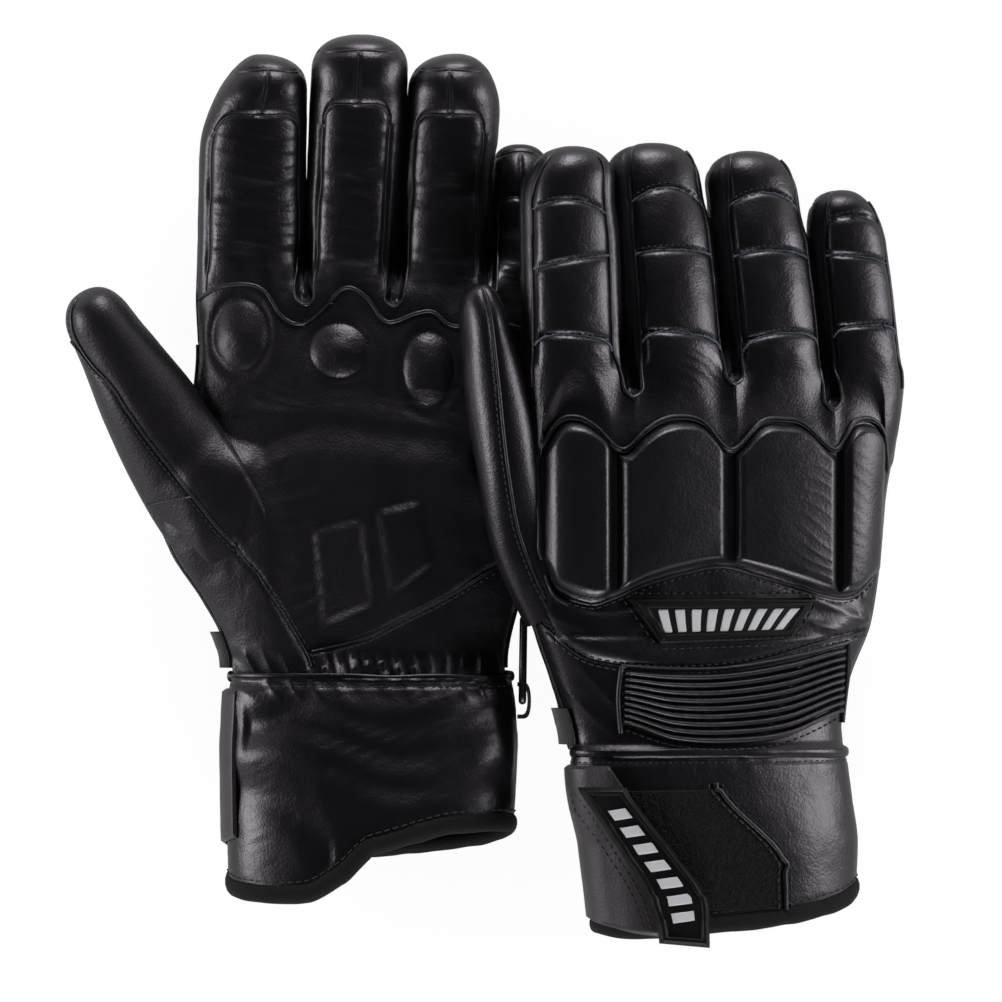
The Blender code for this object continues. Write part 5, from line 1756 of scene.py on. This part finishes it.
class Webbing:
    """The pull loop at the thumb's side of the wrist, and the pairing clip at the other side."""

    THICK, GAP, WIRE = 1.2, 0.4, 1.3     # the tape's thickness, play, and radius of the ring's wire
    RING_LENGTH, RING_CORNER = 27.0, 2.2

    def __init__(self, hand: Hand) -> None:
        """Keeps the hand that they are sewn to."""
        self.plan, self.shop = hand.plan, hand.shop

    def beside(self, y: Values, d: Values, sign: int, out: Values = 0.0) -> Points:
        """The point out from the glove's side at a height d; sign is -1 on the thumb's side."""
        y, d, out = np.broadcast_arrays(*(np.asarray(a, float) for a in (y, d, out)))
        hand, cuff = through(self.plan.hand, y), through(self.plan.cuff, y)
        on_hand = (y > self.plan.wrist - 0.4)[..., None]
        centre, half, back, palm = np.moveaxis(np.where(on_hand, hand, cuff), -1, 0)
        power = np.where(on_hand[..., 0], SECTION_POWER, CUFF_POWER)
        height = np.where(d > 0, back, palm)
        reach = half * (1 - np.abs(d / height) ** power) ** (1 / power)
        return np.stack([centre + sign * (reach + out), y, d], -1)

    @staticmethod
    def tape(sides: Sequence[Points], along: Array, across: Array) -> Form:
        """A slab with its own map: millimetres along and across the tape."""
        form = slab(*sides)
        spread = np.stack([along, across], -1)
        form.uv = np.concatenate([spread, spread[:, ::-1]], axis=1).reshape(-1, 2)
        return form

    def pull_loop(self) -> None:
        """A tape bent into a flat loop out from the side, its ends sewn down."""
        u, v = unit_square(44, 20)
        turn = np.pi * (u - 0.5)
        bulge = 0.5 + 2.6 * np.cos(turn) ** 0.7
        sides = [self.beside(3 + 12 * v, reach * np.sin(turn), -1, bulge + thick)
                 for thick, reach in ((self.THICK, 5.2), (0.0, 5.2 - self.THICK))]
        self.shop.piece("pull_tape", self.tape(sides, u * 17, v * 12), TAPE, "pull_loop")

    def clip(self) -> None:
        """The folded tape and the moulded ring that it holds.

        The ring is a closed line through six corners, each rounded by a quadratic curve.
        """
        middle, long, half = -8.0, 6.0, 4.0
        seat = max(float(self.beside(middle + side * long, 0.0, 1)[0]) for side in (-1, 1)) + 0.3
        u, v = unit_square(54, 14)
        turn = np.pi * (u - 0.5)
        inside = 2 * self.WIRE + 2 * self.GAP
        swell = np.abs(np.cos(turn)) ** 0.35
        sides = [np.stack([seat + (inside + thick) * swell, middle + reach * np.sin(turn),
                           half * (2 * v - 1)], -1)
                 for thick, reach in ((self.THICK, long), (0.0, long - self.THICK))]
        self.shop.piece("clip_webbing", self.tape(sides, u * 22, v * 8), TAPE, "clip_tape")
        near, wide = seat + self.GAP + self.WIRE, half + self.WIRE + 2 * self.GAP
        corners = []
        for rise, across in ((0, -1), (0, 1), (0.45, 1.2), (1, 0.7), (1, -0.7), (0.45, -1.2)):
            y, d = middle + self.RING_LENGTH * rise, across * wide
            out = max(near, float(self.beside(y, d, 1, self.WIRE + self.GAP)[0])) + rise * self.GAP
            corners.append((out, y, d))
        corners = np.array(corners)
        t = np.linspace(0, 1, 9)[:, None]
        rounded = []
        for before, here, after in zip(np.roll(corners, 1, 0), corners, np.roll(corners, -1, 0)):
            a = here + unit(before - here) * self.RING_CORNER
            b = here + unit(after - here) * self.RING_CORNER
            rounded.append((1 - t) ** 2 * a + 2 * t * (1 - t) * here + t * t * b)
        wire = sweep(np.concatenate(rounded), OUT, 2 * self.WIRE, 2 * self.WIRE, 12, closed=True)
        self.shop.piece("clip_hook", wire, RING, "clip_ring", body="clip")

    def build(self) -> None:
        """The loop, and the clip where this glove has one."""
        self.pull_loop()
        if self.shop.own("clip") in frame["bodies"]:
            self.clip()


# ------------------------------------------------------------------ the studio

@dataclass(frozen=True)
class Studio:
    """A camera straight above, four low broad lamps, a white world and a pale floor."""

    lens: float = 280.0
    sensor: float = 36.0
    view_width: float = 334.0     # millimetres of the scene across the frame at the gloves' height
    height: float = 30.0          # the level at which that width is measured
    centre: tuple[float, float] = (5.87, -2.67)
    lamp_size: float = 0.6        # metres, as the lamps' places are
    lamps: tuple[tuple[str, tuple[float, float, float], float], ...] = (   # name, place, watts
        ("beyond_fingers", (0.15, 1.37, 0.47), 14.5), ("below_cuffs", (0.1, -1.37, 0.47), 15.0),
        ("left_side", (-1.38, 0.0, 0.46), 11.5), ("right_side", (1.38, 0.15, 0.46), 10.5))
    mirrored: tuple[float, float] = (0.05, 0.45)   # height of a ray at which gloss loses the white
    dim: float = 0.02             # the world's strength as a light
    floor_half: float = 6.0       # half the sheet's side, and its level, in metres
    floor_level: float = -0.0004
    glow: float = 1.07            # the sheet's own light, and its share of what the camera sees
    glow_share: float = 0.88

    def camera(self) -> None:
        """A long lens looking straight down, its distance worked out from the width of the view."""
        data = bpy.data.cameras.new("camera")
        data.lens, data.sensor_width, data.clip_end = self.lens, self.sensor, 20
        made = bpy.data.objects.new("camera", data)
        rise = self.view_width * self.lens / self.sensor + self.height
        made.location = (self.centre[0] * MM, self.centre[1] * MM, rise * MM)
        bpy.context.scene.collection.objects.link(made)
        bpy.context.scene.camera = made

    def lamp(self, name: str, place: tuple[float, float, float], power: float) -> None:
        """A square area lamp that looks at the gloves from a place in metres."""
        data = bpy.data.lights.new(name, "AREA")
        data.shape, data.size, data.energy = "SQUARE", self.lamp_size, power
        made = bpy.data.objects.new(name, data)
        made.location = place
        aim = -np.array(place)
        made.rotation_euler = (math.acos(-aim[2] / np.linalg.norm(aim)), 0.0,
                               math.atan2(aim[1], aim[0]) - math.pi / 2)
        bpy.context.scene.collection.objects.link(made)

    def world(self) -> None:
        """White where the camera sees it, and low down where gloss mirrors it; dim for light.

        Gloss sees the white up to about 25 degrees over the floor, and a dark ceiling above.
        """
        world = bpy.data.worlds.new("world")
        bpy.context.scene.world = world
        world.use_nodes = True
        tree = world.node_tree
        seen = node(tree, Kind.LIGHT_PATH).outputs
        way = node(tree, Kind.SPLIT, {"Vector": node(tree, Kind.COORD).outputs["Generated"]})
        start, end = self.mirrored
        low = node(tree, Kind.RAMP, {"Value": way.outputs["Z"], "From Min": start, "From Max": end,
                                     "To Min": 1.0, "To Max": 0.0})
        mirrored = node(tree, Kind.MATH, {0: seen["Is Glossy Ray"], 1: low}, operation="MULTIPLY")
        direct = node(tree, Kind.MATH, {0: seen["Is Camera Ray"], 1: seen["Is Transmission Ray"]},
                      operation="MAXIMUM")
        shown = node(tree, Kind.MATH, {0: mirrored, 1: direct}, operation="MAXIMUM")
        level = node(tree, Kind.RAMP, {"Value": shown, "To Min": self.dim, "To Max": 1.0})
        feed(tree, tree.nodes["Background"], {"Color": WHITE, "Strength": level})

    def floor(self) -> None:
        """A pale sheet below the gloves that keeps a faint shadow."""
        mesh = bpy.data.meshes.new("floor")
        r, z = self.floor_half, self.floor_level
        mesh.from_pydata([(-r, -r, z), (r, -r, z), (r, r, z), (-r, r, z)], [], [(0, 1, 2, 3)])
        made = bpy.data.objects.new("floor", mesh)
        bpy.context.scene.collection.objects.link(made)
        paper = bpy.data.materials.new("white_paper")
        paper.use_nodes = True
        tree = paper.node_tree
        tree.nodes.remove(tree.nodes["Principled BSDF"])
        seen = node(tree, Kind.LIGHT_PATH).outputs
        glow = node(tree, Kind.GLOW, {"Color": WHITE, "Strength": self.glow})
        matt = node(tree, Kind.DIFFUSE, {"Color": linear("#f4f4f4")})
        either = node(tree, Kind.MATH, {0: seen["Is Camera Ray"], 1: seen["Is Transmission Ray"]},
                      operation="MAXIMUM")
        share = node(tree, Kind.RAMP, {"Value": either, "To Min": 0.0, "To Max": self.glow_share})
        mixed = node(tree, Kind.MIX_SHADER, {0: share, 1: matt, 2: glow})
        feed(tree, tree.nodes["Material Output"], {"Surface": mixed})
        mesh.materials.append(paper)

    def build(self) -> None:
        """Camera, lamps, world and floor."""
        self.camera()
        for name, place, power in self.lamps:
            self.lamp(name, place, power)
        self.world()
        self.floor()
        bpy.context.scene.view_settings.view_transform = "Standard"


# ------------------------------------------------------------------ the two gloves

RIGHT = GlovePlan(
    side="right",
    facing=1,
    origin=(66.9, -83.7, 28.6),
    tilt=math.radians(16.5),
    hand=((1, 2, 47, 17, 17), (10, 1, 47.5, 16, 16), (25, 0, 51.5, 16, 16), (42, 0.5, 58, 17, 16),
        (62, 0.2, 61.7, 17.5, 16), (84, 0.9, 63.2, 17.5, 15.5), (104, 2.9, 64.7, 17, 14.5),
        (120, 3.8, 65.9, 14.5, 12.5)),
    cuff=((-64, 7.8, 44.2, 19, 21), (-30, 7.0, 47.4, 19, 20), (-14, 4.0, 48.2, 18.4, 19.4),
        (0, 2.6, 48, 18, 19)),
    hem=((0, -43), (45, -49), (90, -54), (135, -56.5), (180, -55), (225, -56), (255, -55), (285, -50),
        (320, -46)),
    fingers=(
        FingerPlan("index", (-45.6, 3), 29.8, 26, 81, -0.5, 5, ((16.8, 1, -1), (42, 0.5, 2.2),
            (58.5, 3.4, -0.8)), (62, 76), (-0.92, 0.66), (-0.85, 0.85), 64, (2.6, 0.2), (20, 12.5)),
        FingerPlan("middle", (-9.8, 3), 31.6, 26, 83, -5.5, 19, ((17, 1.2, -1.5), (44, 0.8, 0),
            (60.5, 4.6, -0.4)), (64, 78), (-0.76, 0.84), (-0.75, 0.75), 66, (0.8, 0.4)),
        FingerPlan("ring", (24.2, 2.5), 30.4, 25, 80.5, -6, 14, ((16.6, 2, 1), (43.6, 1.8, 0),
            (60, 4.4, -0.3)), (62, 76), (-0.76, 0.86), (-0.75, 0.75), 61, (0.8, 0.6), (12.5, 16)),
        FingerPlan("little", (57, 2), 24.4, 22, 67.5, -7.5, 4, ((21.4, 0.4, 0.6), (43.8, 0.8, -1.4),
            (55.4, 2.6, -0.4)), (50, 63), (-0.8, 0.86), (-0.75, 0.75), 0, (0.8, 1.2), (12.5, 20)),
    ),
    thumb=ThumbPlan(
        path=((-77.5, 155.5, -2), (-74.9, 140.7, -2), (-71.2, 120, -1), (-66.6, 94, 0),
            (-62.5, 75, 0),
            (-57, 61, 0), (-50, 47, 0)),
        half_widths=((0, 7.6), (15, 7.8), (36, 10.2), (62, 11), (83, 11.5), (98, 12), (114, 12)),
        half_heights=((0, 9), (12, 10.5), (42, 11.2), (62, 10.6), (78, 9.4), (114, 8.6)),
        split=42,
        seam=((0, 0.1), (30, -0.15), (60, -0.33), (114, -0.33))),
    crotches=((-28, 118.4), (7, 122.7), (41.8, 114.4)),
    scallop=((-58.9, 88), (-58.6, 99), (-53, 109.8), (-47.4, 111.5), (-41.6, 108.6), (-32.8, 100.7),
        (-25, 106.8), (-19.4, 110.4), (-13.1, 111.7), (-5.2, 110), (4.5, 100.7), (15.3, 110),
        (23.4, 111), (30.4, 109.4), (41.6, 101), (48.9, 110), (55.7, 111), (60.2, 106), (61.6, 94)),
    guard_low=((-58.2, 64), (-54, 54), (-43.4, 49.7), (-36.2, 51.4), (-23.9, 56.4), (-10.8, 60),
        (2, 62), (14.9, 59), (28.4, 55), (42, 51.4), (50.5, 52), (58.8, 57.7)),
    pads=((-57.8, -36.4), (-34.4, 2.8), (5.2, 42.1), (43.8, 61.8)),
    palm_line=((-57.5, 106), (-48, 112), (-30, 104), (-10, 110), (7, 104), (24, 110), (42, 102),
        (54, 107), (62, 103)),
    yoke=((-59.4, 46.4), (-53.4, 39), (-42.9, 31.4), (-23.4, 28.4), (-2.9, 28.4), (15.3, 31),
        (35.3, 36.4), (56.4, 40.4)),
    badge=((-30.6, 51.4), (35, 51.4), (25.8, 37.7), (-19.5, 36.4)),
    ribs_top=((-32.5, 27.8), (-17, 26.8), (3, 26.9), (23.3, 29.9), (47.5, 35.3)),
    ribs_low=((-31.5, 9.8), (-15, 4.3), (4, 3.0), (24, 5), (45, 12.6)),
    ovals=((-36, 95, 8, 11), (-8, 95, 9, 10), (24, 93, 8.5, 11)),
    heel=(((-20, 45), (-2, 51), (-3, 18), (-17, 16)), ((0.5, 52), (18, 56), (13, 26), (1.5, 21))),
    palm_seam=((-20, 9.7), (-1, 12.7), (14, 19.7), (28, 27), (44, 36)),
    thumb_seam=((8, -19), (24, -28), (40, -39), (54, -49)),
    loop_panel=((-52, 21.8), (-40, 21.5), (-35, 20.5), (-12, -1.0), (-10, -2.5)),
    folds=(),
    seed=3)

LEFT = GlovePlan(
    side="left",
    facing=-1,
    origin=(-44.7, -58.7, 22.4),
    tilt=0.0,
    hand=((1, 0.5, 45.5, 16, 15), (10, 0, 46.5, 16, 14.5), (25, -2, 52, 17, 14.5),
        (42, -6, 59, 17.5, 14.5), (60, -6.5, 63.5, 17.5, 14.5), (80, -1, 59.5, 17.5, 14),
        (104, 2, 58.5, 17, 13.5), (125, 3, 60, 14.5, 12)),
    cuff=((-74, 0.5, 46.8, 13.6, 24), (-26, 1.5, 48.8, 13.8, 24), (-12, 1.5, 48.2, 16, 23),
        (0, 1.2, 47.4, 17, 21)),
    hem=((0, -47), (45, -52), (90, -56), (135, -60), (180, -66.5), (215, -69.5), (248, -69.5),
        (261, -63), (270, -54), (300, -47)),
    fingers=(
        FingerPlan("index", (-38.8, 2), 33, 26, 82.6, 1.5, 10, ((16.8, 1, -1), (42, 0.5, 2),
            (58.5, 3.4, -0.8)), (63.5, 77), (-0.8, 0.8), (-0.78, 0.9), 42, (2.0, 1.3), (32, 12.5)),
        FingerPlan("middle", (-5.8, 2), 31.4, 26, 89.2, 3.4, 12, ((17, 1.2, -1.5), (44, 0.8, 0),
            (62, 4.6, -0.4)), (67.5, 84), (-0.8, 0.8), (-0.72, 0.66), 72, (0.4, 1.2)),
        FingerPlan("ring", (24.9, 2.6), 29.5, 25, 82.8, 6, 12, ((16.6, 2, 1), (43.6, 1.8, 0),
            (60, 4.4, -0.3)), (64, 77.5), (-0.8, 0.8), (-0.8, 0.7), 56, (2.0, 0.4), (12.5, 22)),
        FingerPlan("little", (50.6, 8), 20.4, 21, 53, 0.5, -7, ((14, 0.4, 0), (32, 0.8, 0),
            (43, 2.4, 0)), (34, 48), (-0.8, 0.8), (-0.75, 0.75), 0, (0.6, 0.4)),
    ),
    thumb=ThumbPlan(
        path=((-95.5, 128.5, -4), (-82, 106, -3), (-69, 84, -2), (-57, 64, -1), (-46, 46, 0),
            (-35, 29, 0)),
        half_widths=((0, 9.5), (12, 11), (25, 13), (44, 16), (62, 18), (84, 18), (98, 16), (118, 11)),
        half_heights=((0, 10), (12, 11.5), (44, 12.2), (62, 12.2), (98, 11), (118, 9)),
        split=44,
        seam=((0, -0.3), (7, -0.68), (16.6, -0.8), (32, -0.46), (44, -0.37), (77, -0.145),
            (93, -0.03), (112, 0.24)),
        cross=(((72, -0.94), (74, -0.6), (77, -0.17)), ((14, -0.97), (21, -0.8), (31, -0.5)))),
    crotches=((-20.3, 124), (9, 123.4), (40, 125.7)),
    scallop=((-51, 97), (-50, 106), (-44, 115.5), (-37, 115.5), (-24.6, 105.5), (-13, 115.5),
        (-6.4, 116.5), (0.5, 115.5), (9.2, 105.5), (19, 115.5), (25.6, 116.5), (32.5, 115),
        (41.5, 105.5), (47, 114), (52, 115), (57, 110), (60, 98)),
    guard_low=((-48.6, 69), (-44.6, 59), (-36.8, 54.7), (-30.2, 56.4), (-19, 61.4), (-7.1, 65),
        (4.5, 67), (16.2, 64), (28.5, 60), (40.9, 56.4), (48.6, 57), (56.2, 62.7)),
    pads=((-50.3, -26.5), (-23.5, 8.2), (11, 40.6), (43.4, 57)),
    palm_line=((-56, 126), (-50.5, 129.6), (-41, 131), (-34, 128.6), (-28.5, 120.5), (-22.2, 117.7),
        (-15.8, 121.9), (-7.4, 129.6), (-0.4, 126.8), (6.7, 118.4), (16.5, 121.2), (22.2, 121.6),
        (29.2, 117), (44, 118), (57, 114)),
    yoke=((-51.3, 51.4), (-45.8, 44), (-36.3, 36.4), (-18.6, 33.4), (0.1, 33.4), (16.6, 36),
        (34.8, 41.4), (54, 45.4)),
    badge=((-25.1, 56.4), (34.5, 56.4), (26.2, 42.7), (-15, 41.4)),
    ribs_top=((-31, 33), (-12.8, 30.5), (5.4, 30), (24.5, 32.5), (44, 37.4)),
    ribs_low=((-28.2, 14), (-12.8, 9), (4.7, 7.4), (24, 10.4), (42.1, 16.7)),
    ovals=((-42, 114, 8.9, 12), (-9.3, 108.7, 9.5, 9), (20.7, 102.7, 8.5, 12)),
    heel=(((-19.2, 50), (-0.2, 54.2), (3.2, 23.6), (-16, 15.4)), ((1.6, 56), (18.2, 59.8), (23.6, 38),
        (6.6, 24.6))),
    palm_seam=((-18.3, 8.5), (-1.3, 12.7), (13, 19.7), (27.4, 27), (43, 36.7)),
    thumb_seam=((3.5, -18.6), (18.5, -26), (34.1, -35.1), (44, -43.4)),
    loop_panel=((-52, 16.5), (-40, 16.5), (-35, 15.5), (-12, -2.0), (-10, -3.5)),
    folds=(
        (-1.4, 6.0, ((-39, -17), (-23.6, -12), (-4.3, -20), (11.2, -24.7), (28.6, -20), (46, -9))),
        (-0.9, 6.0, ((-12, -34.4), (3.4, -42), (20.8, -43), (46, -36))),
        (1.2, 7.0, ((-42, -26), (-31.4, -24.7), (-12, -27.6), (5.4, -34.4), (24.7, -34.4),
            (47.9, -26.6))),
        (1.0, 6.0, ((-44, -9), (-25, -5), (-8, -10), (6, -13), (24, -10), (46, -3))),
        (-1.0, 6.0, ((-46, -36), (-34, -40), (-22, -47), (-12, -58))),
    ),
    seed=11)


def main() -> None:
    """Builds both gloves and the studio."""
    logging.basicConfig(level=logging.INFO, format="%(name)s: %(message)s")
    Studio().build()
    for plan in (LEFT, RIGHT):
        hand = Hand(plan)
        hand.build()
        for number, finger in enumerate(plan.fingers):
            Finger(hand, finger, number).build()
        Thumb(hand).build()
        cuff = Gauntlet(hand)
        cuff.build()
        Closure(cuff).build()
        Webbing(hand).build()
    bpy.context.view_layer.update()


if __name__ == "__main__":
    main()
